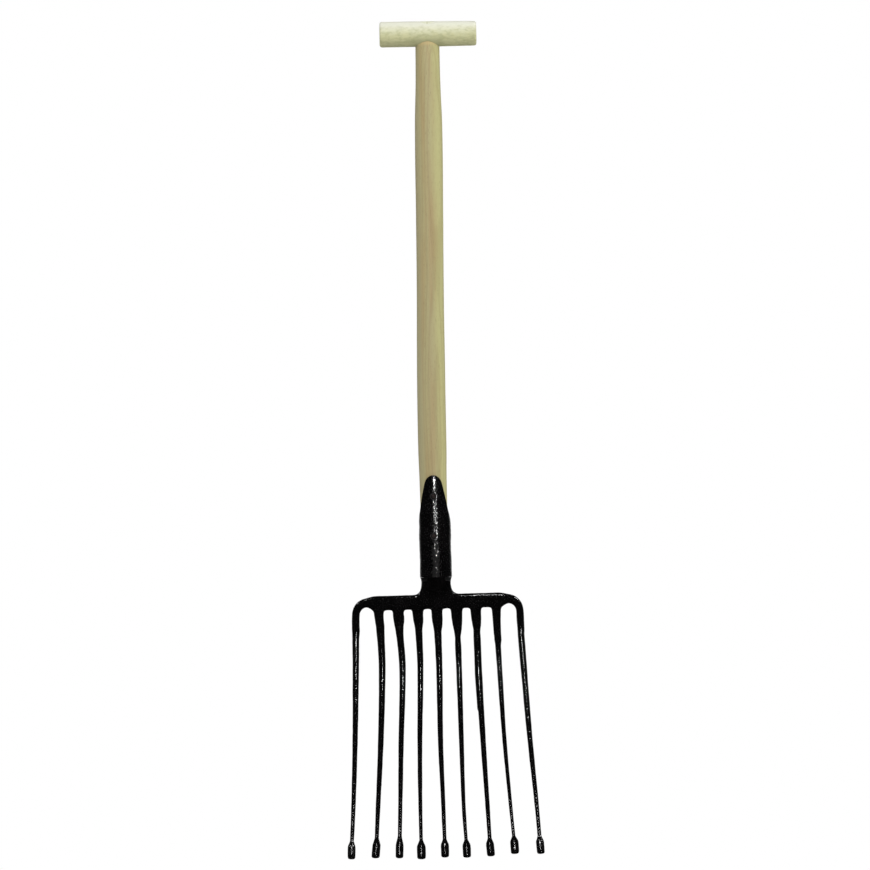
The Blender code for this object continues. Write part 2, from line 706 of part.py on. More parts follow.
def grow_neck(bm, sections, to_head):
    """The neck and its tang, grown up from the opening over several sections of the bar."""
    front = [section[6] for section in sections]
    back = [section[4] for section in reversed(sections)]
    loop = [sections[0][5]] + front + [sections[-1][5]] + back
    sides = len(loop)
    bar_top = BAR_MIDDLE - BAR_HEIGHT / 2
    shoulder = SOCKET_RIM + TOUCH_GAP
    tang_radius = socket_inner(SOCKET_RIM) - TOUCH_GAP
    rim_radius = NECK_DIAMETER / 2

    def oval(drop, wide, deep, setback):
        points = []
        for i in range(sides):
            angle = math.pi + math.tau * i / sides
            x = axis_x(drop) + wide * math.cos(angle) * cage_growth(sides)
            y = setback * BAR_SETBACK + deep * math.sin(angle) * cage_growth(sides)
            points.append(to_head @ Vector((x, y, -drop)))
        return points

    for rise, swell, flare in NECK_FORM:
        deep = between(BAR_NECK_DEPTH / 2, rim_radius, swell)
        loop = grow(bm, loop, oval(between(bar_top, shoulder, rise), rim_radius * flare, deep, 1 - swell))
    loop = grow(bm, loop, oval(shoulder, rim_radius, rim_radius, 0.0), sharp=True)
    loop = grow(bm, loop, oval(shoulder, tang_radius, tang_radius, 0.0), sharp=True)
    loop = grow(bm, loop, oval(SOCKET_RIM - TANG_LENGTH, tang_radius, tang_radius, 0.0))
    close(bm, loop)


def make_crossbar(to_head, finish):
    """The forging: a bar with nine roots, and a neck that ends in the tang inside the socket.

    It is a cage of quads that a subdivision surface rounds. Roots and neck grow out of openings left
    in the bar's lower and upper faces, so that every joint between them is a fillet.
    """
    inner = range(2, TINE_COUNT)
    places = []
    for number in inner:
        x = tine_point(number, BAR_HEIGHT / 2).x
        half_opening = half_width(number, BAR_HEIGHT / 2) + ROOT_FILLET / 3
        places += [(x - half_opening, None), (x, number), (x + half_opening, None)]
        if number < TINE_COUNT - 1:
            following = tine_point(number + 1, BAR_HEIGHT / 2).x
            places.append(((x + following) / 2, None))
    up = Vector((0, 0, 1))
    bar = [section_loop(Vector((x, bar_y(x), 0)), up, BAR_HEIGHT / 2, bar_depth(x) / 2) for x, _ in places]
    left_arm = arm_sections(1)
    loops = list(reversed(left_arm)) + bar + arm_sections(TINE_COUNT)

    bm = bmesh.new()
    rings = [[bm.verts.new(point) for point in loop] for loop in loops]
    first_bar = len(left_arm)

    def nearest_place(x):
        return min(range(len(places)), key=lambda i: abs(places[i][0] - x))

    under_neck = range(first_bar + nearest_place(-NECK_REACH), first_bar + nearest_place(NECK_REACH) + 1)
    over_root = {first_bar + i: number for i, (_, number) in enumerate(places) if number}
    for i, (first, second) in enumerate(zip(rings, rings[1:])):
        for side in range(len(SECTION)):
            other = (side + 1) % len(SECTION)
            root_opening = side in UNDERSIDE and (i in over_root or i + 1 in over_root)
            neck_opening = side in TOPSIDE and i in under_neck and i + 1 in under_neck
            if not root_opening and not neck_opening:
                bm.faces.new((first[side], second[side], second[other], first[other]))
    close(bm, rings[0])
    close(bm, rings[-1])
    for i, number in over_root.items():
        grow_root(bm, number, rings[i - 1], rings[i], rings[i + 1])
    grow_neck(bm, [rings[i] for i in under_neck], to_head)

    loose = [vert for vert in bm.verts if not vert.link_faces]
    bmesh.ops.delete(bm, geom=loose, context="VERTS")
    crossbar = add_object("crossbar", bm, finish)
    rounding = crossbar.modifiers.new("Rounding", "SUBSURF")
    rounding.levels = 1
    rounding.render_levels = 1
    return crossbar


# The ball at a tip: share of its length from the top, and share of its swell from the rod
BALL_FORM = ((0.0, 0.06), (0.12, 0.3), (0.2, 0.58), (0.28, 0.84), (0.38, 1.0), (0.66, 1.0), (0.92, 0.98))


def make_tine(number, finish):
    """A drawn rod with the thickened ring of its weld at the top and a forged ball at the tip."""
    top = WELD_DROPS[number - 1] + TOUCH_GAP
    tip = TINE_DROP - SHORTFALLS[number - 1]
    ball_top = tip - BALL_LENGTH
    drops = [top, top + UPSET_LENGTH * 0.5, top + UPSET_LENGTH]
    rod_start = top + 2 * UPSET_LENGTH
    rod_end = ball_top - BALL_LENGTH * 0.25
    drops += [between(rod_start, rod_end, i / ROD_STEPS) for i in range(ROD_STEPS + 1)]
    if number == FLANK_TINE:
        drops = sorted(drops + [FLANK_END - FLANK_STEP, FLANK_END])
    sizes = []
    for drop in drops:
        swell = weld_swell(number, drop)
        sizes.append((drop, half_width(number, drop) + swell, half_depth(number, drop) + swell))
    ball_width = BALL_WIDTH * BALL_STOUTNESS[number - 1]
    for share, fullness in BALL_FORM:
        drop = ball_top + BALL_LENGTH * share
        wide = between(half_width(number, drop), ball_width / 2, fullness)
        deep = between(half_depth(number, drop), BALL_DEPTH / 2, fullness)
        sizes.append((drop, wide, deep))
    sizes.append((tip, BALL_FACE / 2, BALL_FACE / 2 * BALL_DEPTH / BALL_WIDTH))
    loops = [tine_loop(number, drop, wide, deep, TINE_SIDES) for drop, wide, deep in sizes]
    return add_object("tine_%d" % number, loft(loops), finish)


def main():
    clear_scene()
    shaft_wood = material("shaft_wood", (0.44, 0.35, 0.18), 0.6)
    grip_wood = material("grip_wood", (0.62, 0.58, 0.38), 0.6)
    wedge_wood = material("wedge_wood", (0.50, 0.44, 0.20), 0.6)
    black_paint = material("black_paint", (0.012, 0.012, 0.013), 0.28)
    nail_steel = material("nail_steel", (0.11, 0.06, 0.045), 0.5, 0.6)

    make_grip(grip_wood)
    shaft = make_shaft(shaft_wood)
    make_wedge(wedge_wood)
    socket = make_socket(black_paint)
    make_nail("upper_nail", TONGUE_TIP + UPPER_NAIL_FROM_TIP, 0.0, shaft, socket, nail_steel)
    make_nail("lower_nail", SOCKET_RIM - LOWER_NAIL_FROM_RIM, -LOWER_NAIL_OFFSET, shaft, socket, nail_steel)

    head = bpy.data.objects.new("head_frame", None)
    bpy.context.scene.collection.objects.link(head)
    head.location = (0, 0, -BAR_MIDDLE)
    head.rotation_euler = (0, -HEAD_LEAN, 0)
    place = Matrix.Translation(head.location) @ head.rotation_euler.to_matrix().to_4x4()
    make_crossbar(place.inverted(), black_paint).parent = head
    for number in range(1, TINE_COUNT + 1):
        make_tine(number, black_paint).parent = head


main()
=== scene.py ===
"""Looks of a potato fork: finer meshes, wood, forged steel, paint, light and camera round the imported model.

Metres, +Z up. The frame's origin is on the shaft's axis at the underside of the grip, and the hollow side
of the head faces -Y. A drop is a distance below the grip, or in the head's own frame below the middle of
the crossbar. Each finer mesh follows the sizes of the CAD node that it stands for.
"""

import math

import bmesh
import bpy
from mathutils import Matrix, Vector, noise


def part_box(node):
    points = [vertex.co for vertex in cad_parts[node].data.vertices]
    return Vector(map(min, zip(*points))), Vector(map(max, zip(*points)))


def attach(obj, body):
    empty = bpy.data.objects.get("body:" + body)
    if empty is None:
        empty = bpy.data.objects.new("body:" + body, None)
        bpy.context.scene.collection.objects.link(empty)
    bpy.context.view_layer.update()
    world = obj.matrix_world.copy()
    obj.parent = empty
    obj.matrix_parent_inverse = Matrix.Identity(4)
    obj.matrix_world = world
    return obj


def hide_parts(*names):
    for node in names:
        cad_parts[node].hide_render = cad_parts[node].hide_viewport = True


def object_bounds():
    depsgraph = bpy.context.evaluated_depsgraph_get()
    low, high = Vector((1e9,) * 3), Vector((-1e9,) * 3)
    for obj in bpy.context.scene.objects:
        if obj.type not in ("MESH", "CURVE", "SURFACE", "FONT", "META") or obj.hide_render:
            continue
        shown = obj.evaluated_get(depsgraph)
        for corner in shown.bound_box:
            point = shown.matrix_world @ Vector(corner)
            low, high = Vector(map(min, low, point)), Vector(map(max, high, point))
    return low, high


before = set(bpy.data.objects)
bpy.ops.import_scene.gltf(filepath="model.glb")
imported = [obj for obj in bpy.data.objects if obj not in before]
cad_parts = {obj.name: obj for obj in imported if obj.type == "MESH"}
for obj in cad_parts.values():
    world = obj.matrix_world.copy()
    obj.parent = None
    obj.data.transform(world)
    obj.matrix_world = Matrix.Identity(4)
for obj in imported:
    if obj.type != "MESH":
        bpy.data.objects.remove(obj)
cad_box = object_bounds()

MM = 0.001


def in_metres(*values):
    """Millimetres to metres, for numbers and for rows of them."""
    return tuple(in_metres(*value) if isinstance(value, tuple) else value * MM for value in values)


TOUCH_GAP = 0.3 * MM
OVERRUN = 2 * MM

# Grip, tenon and wedge, from the frame where a box gives them
GRIP_DIAMETER = 36.5 * MM
grip_low, grip_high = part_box("grip")
GRIP_LENGTH = grip_high.x - grip_low.x
GRIP_MIDDLE = (grip_high.x + grip_low.x) / 2
GRIP_EDGE_RADIUS = 3.5 * MM
GRIP_BELLY = 0.5 * MM
GRIP_TAPER = 1.6 * MM
TENON_DIAMETER = 22 * MM
wedge_low, wedge_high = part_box("grip_wedge")
WEDGE_TOP_THICKNESS = wedge_high.x - wedge_low.x
WEDGE_TIP_THICKNESS = 1.5 * MM
WEDGE_WIDTH = wedge_high.y - wedge_low.y
WEDGE_DEPTH = GRIP_DIAMETER - wedge_low.z

# Shaft
SHAFT_LENGTH = -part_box("shaft")[0].z
SHAFT_TOP_DIAMETER = 34.0 * MM
SHAFT_TOP_DEPTH = 29.6 * MM
SHAFT_SHAVE_END = 36 * MM
SHAFT_END_CHAMFER = 2 * MM
SHAFT_BOW = 2.4 * MM
BOW_SKEW = 2.0
SHAFT_LOWER_LENGTH = 100 * MM
SHAFT_LOWER_SHOULDER = 35 * MM
SHAFT_WAIST_SHARE = 0.45

# Socket: the mouth's outline is degrees round from the front, and mm below the tongue's tip
socket_low, socket_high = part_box("socket")
SOCKET_RIM = -socket_low.z
TONGUE_TIP = -socket_high.z
SOCKET_TONGUE_WALL = 2.0 * MM
SOCKET_MOUTH_DIAMETER = 44.2 * MM
SOCKET_RIM_DIAMETER = 45.4 * MM
SEAM_WIDTH = 1.6 * MM
MOUTH_OUTLINE = ((0, 0.0), (7, 0.3), (15, 1.6), (25, 4.6), (33, 9.5), (41, 19.5), (50, 30.5), (62, 46.0),
                 (76, 58.5), (90, 67.0), (130, 83.0), (180, 92.0))

# Nails
UPPER_NAIL_DROP = TONGUE_TIP + 30 * MM
LOWER_NAIL_DROP = SOCKET_RIM - 59 * MM
LOWER_NAIL_OFFSET = -1.2 * MM
NAIL_HEAD_DIAMETER = 8.4 * MM
NAIL_HEAD_THICKNESS = 1.9 * MM
NAIL_SHANK_DIAMETER = 4.0 * MM
NAIL_LENGTH = 32 * MM
NAIL_POINT = 5 * MM
NAIL_TIP_SHARE = 0.25

# Crossbar and neck
BAR_HEIGHT = 22 * MM
BAR_DEPTH = 14 * MM
BAR_NECK_DEPTH = 20 * MM
BAR_SETBACK = 4 * MM
BAR_BOW = 7 * MM
HEAD_LEAN = math.radians(0.81)
NECK_DIAMETER = 42.4 * MM
NECK_LENGTH = 24.3 * MM
NECK_FILLET = 7 * MM
NECK_REACH = NECK_DIAMETER / 2 + NECK_FILLET
TANG_LENGTH = 17 * MM
SHOULDER_RADIUS = 17.8 * MM
SHOULDER_LIFT = 1.6 * MM
SHOULDER_THICKNESS = 14.4 * MM
BAR_MIDDLE = SOCKET_RIM + NECK_LENGTH + BAR_HEIGHT / 2

# Tines
TINE_COUNT = 9
ROOT_PITCH = 28 * MM
OUTER_ROOT_STEP = 33.6 * MM
TIP_PITCH = 34 * MM
TINE_DROP = 366.6 * MM
ROOT_ANGLE = math.radians(-8)
TIP_ANGLE = math.radians(22)
ROD_WIDTH = 9.2 * MM
ROD_END_WIDTH = 4.8 * MM
ROD_FLATNESS = 1.08
ROOT_TAPER_END = 64 * MM
ROOT_TAPER_POWER = 1.2
ROOT_FILLET = 3 * MM
UPSET = 0.45 * MM
UPSET_SIDE = 0.35 * MM
UPSET_LENGTH = 9 * MM
WELD_LAP = 1.5 * MM
FLANK_TINE = 7
FLANK_WIDTH = 1.1 * MM
FLANK_RISE = 50 * MM
FLANK_END = 160 * MM
FLANK_STEP = 5 * MM
BALL_WIDTH = 11.8 * MM
BALL_DEPTH = 10 * MM
BALL_LENGTH = 25 * MM
BALL_FACE = 8.8 * MM
ROOT_STATIONS = in_metres(16, 25, 33, 41, 52)
ROOT_WIDTHS = in_metres(
    (10.8, 10.9, 10.3, 9.5, 9.5),
    (13.6, 11.8, 11.0, 11.3, 10.5),
    (15.1, 14.2, 12.7, 10.9, 9.7),
    (15.3, 13.6, 11.2, 10.2, 9.4),
    (15.2, 15.1, 12.7, 10.6, 10.0),
    (16.1, 15.1, 13.5, 10.0, 7.9),
    (14.8, 14.0, 12.0, 9.6, 9.9),
    (12.6, 11.4, 10.7, 10.4, 10.0),
    (10.5, 10.3, 9.9, 8.7, 9.1),
)
WELD_DROPS = in_metres(40, 31, 24.5, 29.5, 34.5, 42, 37.5, 58, 41)
SHORTFALLS = in_metres(3.1, 3.5, 2.4, 0.0, 1.6, 0.3, 1.2, 3.6, 2.6)
STRAY_STATIONS = (0.045, 0.115, 0.26, 0.55, 0.8, 0.98)
STRAY = in_metres(
    (2.0, 2.7, 3.8, 4.9, 4.4, 2.9),
    (1.5, 4.6, 8.0, 7.9, 5.8, 4.4),
    (1.3, 3.4, 7.7, 5.9, 5.0, 4.0),
    (1.1, 2.2, 3.8, 1.5, 1.0, 1.6),
    (0.3, 0.7, 1.3, 0.0, 1.1, 1.7),
    (0.4, 0.4, 0.1, -1.4, -2.5, -0.9),
    (-0.2, -0.7, -1.5, -1.6, -1.2, -1.1),
    (1.0, -0.1, -1.0, -2.2, -1.0, 0.4),
    (1.2, 0.1, 0.0, 0.6, 2.5, 2.9),
)
STOUTNESS = (1.0, 1.1, 1.03, 0.96, 1.02, 0.94, 1.08, 0.84, 1.0)

# Fineness of the meshes, and the angle from which an edge is shaded sharp
SHAFT_SIDES = 96
GRIP_SIDES = 128
NAIL_SIDES = 40
TINE_SIDES = 24
FLOOR_SIDES = 96
RING_STEP = 5 * MM
TINE_RING_STEP = 1.7 * MM
ARC_STEPS = 4
GRIP_EDGE_STEPS = 12
WEDGE_TOP_STEPS = 24
TENON_TOP_STEPS = 48
SOCKET_COLUMNS, SOCKET_ROWS = 180, 100
BALL_STEPS = 22
BALL_CORNER_STEPS = 5
SUBDIVISIONS = 3
SHARP_ANGLE = math.radians(35)

# Relief on forgings, drawn rods, nail heads and the shaved shaft, in layers of feature size and height
FORGED = in_metres((17, 0.22), (6, 0.11), (3.2, 0.035))
DRAWN = in_metres((22, 0.2), (5.2, 0.09))
HAMMERED = in_metres((2.2, 0.22), (1.1, 0.08))
SHAVED = in_metres((11, 0.16), (5, 0.05))
# Share of the relief's height by which the painted steel lies inwards
RELIEF_SINK = 0.1

# Photograph: metres to a pixel, the place of the image's middle, and the fork's turn in the picture
PICTURE_SIZE = 870
PIXEL = 1.435 * MM
PICTURE_MIDDLE = Vector((1.9 * MM, 0, -557.3 * MM))
PICTURE_TURN = math.radians(0.926)
CAMERA_DISTANCE = 20.0
CAMERA_SENSOR = 36.0

RIGHT = Vector((1, 0, 0))
BACK = Vector((0, 1, 0))
UP = Vector((0, 0, 1))


# Shared shapes

def between(low, high, share):
    return low + (high - low) * share


def ease(share):
    """0 to 1, starting and ending slowly, for a share that may run past both."""
    share = min(max(share, 0.0), 1.0)
    return share * share * (3 - 2 * share)


def round_angles(count):
    return [math.tau * i / count for i in range(count)]


def smooth_value(points, at):
    """A smooth curve through points of (station, value) with rising stations."""
    stations, values = zip(*points)
    if at <= stations[0]:
        return values[0]
    if at >= stations[-1]:
        return values[-1]
    last = len(stations) - 1
    k = max(i for i in range(last) if stations[i] <= at)

    def slope(i):
        low, high = max(i - 1, 0), min(i + 1, last)
        return (values[high] - values[low]) / (stations[high] - stations[low])

    span = stations[k + 1] - stations[k]
    t = (at - stations[k]) / span
    return (
        (2 * t**3 - 3 * t**2 + 1) * values[k]
        + (t**3 - 2 * t**2 + t) * span * slope(k)
        + (3 * t**2 - 2 * t**3) * values[k + 1]
        + (t**3 - t**2) * span * slope(k + 1)
    )


def relief(point, layers):
    """Height of smooth random relief at a point, from layers of (feature size, height)."""
    return sum(height * noise.noise(point / size) for size, height in layers)


def shade(mesh):
    mesh.shade_smooth()
    mesh.set_sharp_from_angle(angle=SHARP_ANGLE)


def add_object(name, bm, finish=None):
    """Make an object of a bmesh, with its faces pointing out and its round sides shaded smooth."""
    bmesh.ops.recalc_face_normals(bm, faces=bm.faces)
    mesh = bpy.data.meshes.new(name)
    bm.to_mesh(mesh)
    bm.free()
    shade(mesh)
    obj = bpy.data.objects.new(name, mesh)
    bpy.context.scene.collection.objects.link(obj)
    if finish:
        mesh.materials.append(finish)
    return obj


def settle(obj, cutters=()):
    """Keep what an object's modifiers make of it as its mesh, and remove the cutters."""
    graph = bpy.context.evaluated_depsgraph_get()
    made = bpy.data.meshes.new_from_object(obj.evaluated_get(graph), depsgraph=graph)
    obj.modifiers.clear()
    obj.data = made
    shade(made)
    for cutter in cutters:
        bpy.data.objects.remove(cutter)


def boolean(obj, operation, other):
    modifier = obj.modifiers.new(operation.title(), "BOOLEAN")
    modifier.operation = operation
    modifier.object = other


def roughen(mesh, layers, weight=lambda point: 1.0, inward=0.0):
    """Push a mesh's points along their normals by smooth relief, and inwards by a share of its height."""
    sink = inward * sum(height for _, height in layers)
    shifts = [v.normal * ((relief(v.co, layers) - sink) * weight(v.co)) for v in mesh.vertices]
    for vertex, shift in zip(mesh.vertices, shifts):
        vertex.co += shift


def join_loops(bm, first, second):
    for corners in zip(first, first[1:] + first[:1], second[1:] + second[:1], second):
        bm.faces.new(corners)


def loft(loops):
    """A closed solid through loops of points, with a flat face at each end."""
    bm = bmesh.new()
    rings = [[bm.verts.new(point) for point in loop] for loop in loops]
    for first, second in zip(rings, rings[1:]):
        join_loops(bm, first, second)
    bm.faces.new(rings[0])
    bm.faces.new(rings[-1])
    return bm


def turned(profile, sides, start=Vector((0, 0, 0)), along=UP):
    """A turned solid: a profile of (distance along the axis, radius) pairs, flat at both ends."""
    side = along.orthogonal().normalized()
    other = along.cross(side)
    turns = [side * math.cos(a) + other * math.sin(a) for a in round_angles(sides)]
    return loft([[start + along * distance + turn * radius for turn in turns] for distance, radius in profile])


def prism(outline, half_width):
    """A prism along X of an outline of (y, z) points."""
    return loft([[Vector((x, y, z)) for y, z in outline] for x in (-half_width, half_width)])


# Grip, wedge and shaft

SHAFT_LOWER_END = TONGUE_TIP - SHAFT_LOWER_SHOULDER
SWELL_DROP = 115 * MM
SHAFT_STATIONS = (
    (-GRIP_DIAMETER, SHAFT_TOP_DIAMETER),
    (50 * MM, 35.6 * MM),
    (SWELL_DROP, 39.6 * MM),
    (between(SWELL_DROP, TONGUE_TIP, SHAFT_WAIST_SHARE), 39.0 * MM),
    (SHAFT_LOWER_END - SHAFT_LOWER_LENGTH, 40.8 * MM),
    (SHAFT_LOWER_END, 40.8 * MM),
    (TONGUE_TIP, 39.2 * MM),
    (SHAFT_LENGTH, 37.4 * MM),
)
# The spokeshave's long faint flats: how deep they lie, their stretch along the shaft, and where they fade
FLATS_DEPTH = 0.1 * MM
FLATS_STRETCH = 6
FLATS_TOP_FADE = 30 * MM
FLATS_END_FADE = 20 * MM


def shaft_radius(drop):
    return smooth_value(SHAFT_STATIONS, drop) / 2


def axis_x(drop):
    """Sideways place of the shaft's middle, which bows between the grip and its end in the socket."""
    share = min(max(drop / SHAFT_LENGTH, 0.0), 1.0)
    return -SHAFT_BOW * math.sin(math.pi * share**BOW_SKEW)


def shaved(drop):
    """Depth of the shaft over its width."""
    share = min(max(drop / SHAFT_SHAVE_END, 0.0), 1.0)
    return between(SHAFT_TOP_DEPTH / SHAFT_TOP_DIAMETER, 1.0, share * (2 - share))


def arch_outline(half_width, bottom, steps):
    """(y, z) points of a prism's outline with the grip's round top."""
    radius = GRIP_DIAMETER / 2
    tops = [between(half_width, -half_width, i / steps) for i in range(steps + 1)]
    arch = [(y, radius + math.sqrt(max(radius**2 - y**2, 0.0))) for y in tops]
    return [(-half_width, bottom), (half_width, bottom)] + arch


def make_grip(finish):
    half = GRIP_LENGTH / 2

    def radius_at(distance):
        share = distance / half
        return (GRIP_DIAMETER - GRIP_BELLY * share**2 - GRIP_TAPER / 2 * share) / 2

    straight = half - GRIP_EDGE_RADIUS
    count = int(2 * straight / RING_STEP)
    middles = [between(-straight, straight, i / count) for i in range(1, count)]
    profile = [(x, radius_at(x)) for x in middles]
    for i in range(GRIP_EDGE_STEPS + 1):
        angle = math.pi / 2 * i / GRIP_EDGE_STEPS
        distance = half - GRIP_EDGE_RADIUS * (1 - math.cos(angle))
        cut = GRIP_EDGE_RADIUS * (1 - math.sin(angle))
        profile.insert(i, (-distance, radius_at(-half) - cut))
        profile.insert(len(profile) - i, (distance, radius_at(half) - cut))
    middle = Vector((GRIP_MIDDLE, 0, GRIP_DIAMETER / 2))
    grip = add_object("grip_turned", turned(profile, GRIP_SIDES, middle, RIGHT), finish)
    radius = TENON_DIAMETER / 2 + TOUCH_GAP / 2
    bore = add_object("bore", turned(((-OVERRUN, radius), (GRIP_DIAMETER + OVERRUN, radius)), SHAFT_SIDES))
    boolean(grip, "DIFFERENCE", bore)
    settle(grip, [bore])
    return grip


def wedge_shape(clearance, width, rise):
    """The wedge, or with a clearance and a rise the saw cut that takes it."""
    tip = GRIP_DIAMETER - WEDGE_DEPTH - clearance
    growth = (WEDGE_TOP_THICKNESS - WEDGE_TIP_THICKNESS) / 2 / WEDGE_DEPTH
    if rise:
        top = GRIP_DIAMETER + rise
        outline = [(-width, tip), (width, tip), (width, top), (-width, top)]
    else:
        outline = arch_outline(width / 2, tip, WEDGE_TOP_STEPS)
    bm = prism(outline, 1.0)
    for vert in bm.verts:
        vert.co.x *= WEDGE_TIP_THICKNESS / 2 + growth * (vert.co.z - GRIP_DIAMETER + WEDGE_DEPTH) + clearance
    return bm


def make_shaft(finish, holes):
    first = OVERRUN - GRIP_DIAMETER / 2
    last = SHAFT_LENGTH - SHAFT_END_CHAMFER
    count = int((last - first) / RING_STEP)
    drops = [between(first, last, i / count) for i in range(count + 1)] + [SHAFT_LENGTH]
    loops = []
    for drop in drops:
        radius = shaft_radius(drop) - (SHAFT_END_CHAMFER if drop == SHAFT_LENGTH else 0)
        flats = ease((TONGUE_TIP - drop) / FLATS_END_FADE) * ease(drop / FLATS_TOP_FADE)
        loop = []
        for angle in round_angles(SHAFT_SIDES):
            turn = Vector((math.cos(angle), math.sin(angle), 0))
            dent = relief(turn * 20 * MM + Vector((0, 0, drop / FLATS_STRETCH)), SHAVED)
            reach = radius + (dent - FLATS_DEPTH) * flats
            loop.append(Vector((axis_x(drop) + turn.x * reach, turn.y * reach * shaved(drop), -drop)))
        loops.append(loop)
    shaft = add_object("shaft_shaved", loft(loops), finish)
    cope_radius = GRIP_DIAMETER / 2 + TOUCH_GAP / 2
    half = SHAFT_TOP_DIAMETER
    cope = add_object("cope", turned(((-half, cope_radius), (half, cope_radius)), 2 * GRIP_SIDES,
                                     Vector((0, 0, GRIP_DIAMETER / 2)), RIGHT))
    radius = TENON_DIAMETER / 2
    tenon = add_object("tenon", turned(((-TENON_DIAMETER, radius), (2 * GRIP_DIAMETER, radius)), SHAFT_SIDES))
    outline = arch_outline(radius + OVERRUN, -2 * TENON_DIAMETER, TENON_TOP_STEPS)
    envelope = add_object("envelope", prism(outline, TENON_DIAMETER))
    slot = add_object("slot", wedge_shape(TOUCH_GAP / 2, TENON_DIAMETER, OVERRUN))
    boolean(tenon, "INTERSECT", envelope)
    boolean(shaft, "DIFFERENCE", cope)
    boolean(shaft, "UNION", tenon)
    boolean(shaft, "DIFFERENCE", slot)
    for hole in holes:
        boolean(shaft, "DIFFERENCE", hole)
    settle(shaft, [cope, tenon, envelope, slot])
    return shaft


# Socket and nails

SOCKET_MOUTH = TONGUE_TIP + dict(MOUTH_OUTLINE)[90] * MM
MOUTH_POINTS = [(math.radians(degrees), TONGUE_TIP + drop * MM) for degrees, drop in MOUTH_OUTLINE]
# Places of the nails in the front of the socket, as (x, z)
NAIL_PLACES = (
    (axis_x(UPPER_NAIL_DROP), -UPPER_NAIL_DROP),
    (axis_x(LOWER_NAIL_DROP) + LOWER_NAIL_OFFSET, -LOWER_NAIL_DROP),
)
LIP_RADIUS = 5.6 * MM
LIP_WIDTH = 0.9 * MM
LIP_HEIGHT = 0.3 * MM
DISH_RADIUS = 9 * MM
DISH_DEPTH = 0.35 * MM
# The plate springs open at the mouth, more on the right than on the left.
SPRING = 0.75 * MM
SOCKET_COAT = 0.4 * MM
SPRING_DROP = TONGUE_TIP + 72 * MM
SPRING_LENGTH = 18 * MM
SOCKET_BEVEL = 0.6 * MM
SOCKET_BEVEL_STEPS = 3
SOCKET_BEVEL_ANGLE = math.radians(50)


def socket_inner(drop):
    return shaft_radius(min(drop, SHAFT_LENGTH)) + TOUCH_GAP


def socket_outer(drop):
    if drop >= SOCKET_MOUTH:
        share = (drop - SOCKET_MOUTH) / (SOCKET_RIM - SOCKET_MOUTH)
        return between(SOCKET_MOUTH_DIAMETER, SOCKET_RIM_DIAMETER, share) / 2
    share = (drop - TONGUE_TIP) / (SOCKET_MOUTH - TONGUE_TIP)
    return between(socket_inner(TONGUE_TIP) + SOCKET_TONGUE_WALL, SOCKET_MOUTH_DIAMETER / 2, share)


def nail_dent(x, z):
    """Height of the plate round the nails: a raised lip at each hole in a shallow dish."""
    height = 0.0
    for nail_x, nail_z in NAIL_PLACES:
        away = math.hypot(x - nail_x, z - nail_z)
        height += LIP_HEIGHT * math.exp(-(((away - LIP_RADIUS) / LIP_WIDTH) ** 2))
        height -= DISH_DEPTH * math.exp(-((away / DISH_RADIUS) ** 2))
    return height


def make_socket(finish, holes):
    last = math.pi - SEAM_WIDTH / SOCKET_RIM_DIAMETER
    columns, rows = SOCKET_COLUMNS, SOCKET_ROWS
    angles = [between(-last, last, i / columns) for i in range(columns + 1)]

    def point(angle, share, radius_at, worn):
        drop = between(SOCKET_RIM, smooth_value(MOUTH_POINTS, abs(angle)), share)
        radius = radius_at(drop)
        x = axis_x(drop) + radius * math.sin(angle)
        if worn:
            place = Vector((x, -radius * math.cos(angle), -drop))
            spring = math.exp(-(((drop - SPRING_DROP) / SPRING_LENGTH) ** 2))
            coat = SOCKET_COAT * ease((drop - SPRING_DROP) / SPRING_LENGTH)
            radius += relief(place, FORGED) + coat + SPRING * spring * (1 + math.sin(angle))
            if abs(angle) < math.pi / 2:
                radius += nail_dent(x, -drop)
        return Vector((axis_x(drop) + radius * math.sin(angle), -radius * math.cos(angle), -drop))

    def sheet(bm, radius_at, worn):
        return [[bm.verts.new(point(a, i / rows, radius_at, worn)) for i in range(rows + 1)] for a in angles]

    bm = bmesh.new()
    outer = sheet(bm, socket_outer, True)
    inner = sheet(bm, socket_inner, False)
    for strips in (outer, inner):
        for left, right in zip(strips, strips[1:]):
            for i in range(rows):
                bm.faces.new((left[i], right[i], right[i + 1], left[i + 1]))
    for i in (0, rows):
        for a, b, c, d in zip(outer, outer[1:], inner, inner[1:]):
            bm.faces.new((a[i], b[i], d[i], c[i]))
    for a, b in ((outer[0], inner[0]), (outer[-1], inner[-1])):
        for i in range(rows):
            bm.faces.new((a[i], a[i + 1], b[i + 1], b[i]))
    socket = add_object("socket_rolled", bm, finish)
    edges = socket.modifiers.new("Worn edges", "BEVEL")
    edges.width = SOCKET_BEVEL
    edges.segments = SOCKET_BEVEL_STEPS
    edges.limit_method = "ANGLE"
    edges.angle_limit = SOCKET_BEVEL_ANGLE
    for hole in holes:
        boolean(socket, "DIFFERENCE", hole)
    settle(socket)
    return socket


# A hammered nail's head: share of its radius, and height over its rim
NAIL_HEAD_FORM = ((0.3, 0.62 * MM), (0.55, 0.5 * MM), (0.78, 0.3 * MM), (0.93, 0.08 * MM),
                  (1.0, -0.25 * MM))


def nail_profile(clearance, head_form):
    """Countersunk head, shank and point, along the nail from the outer face of its head."""
    head = NAIL_HEAD_DIAMETER / 2 + clearance
    shank = NAIL_SHANK_DIAMETER / 2 + clearance
    profile = [(-height, head * share) for share, height in head_form]
    profile += [(NAIL_HEAD_THICKNESS + clearance, shank), (NAIL_LENGTH - NAIL_POINT, shank)]
    return profile + [(NAIL_LENGTH + clearance, shank * NAIL_TIP_SHARE)]


def turned_nail(place, clearance, head_form):
    x, z = place
    face = Vector((x, -socket_outer(-z) + DISH_DEPTH, z))
    return turned(nail_profile(clearance, head_form), NAIL_SIDES, face, BACK)


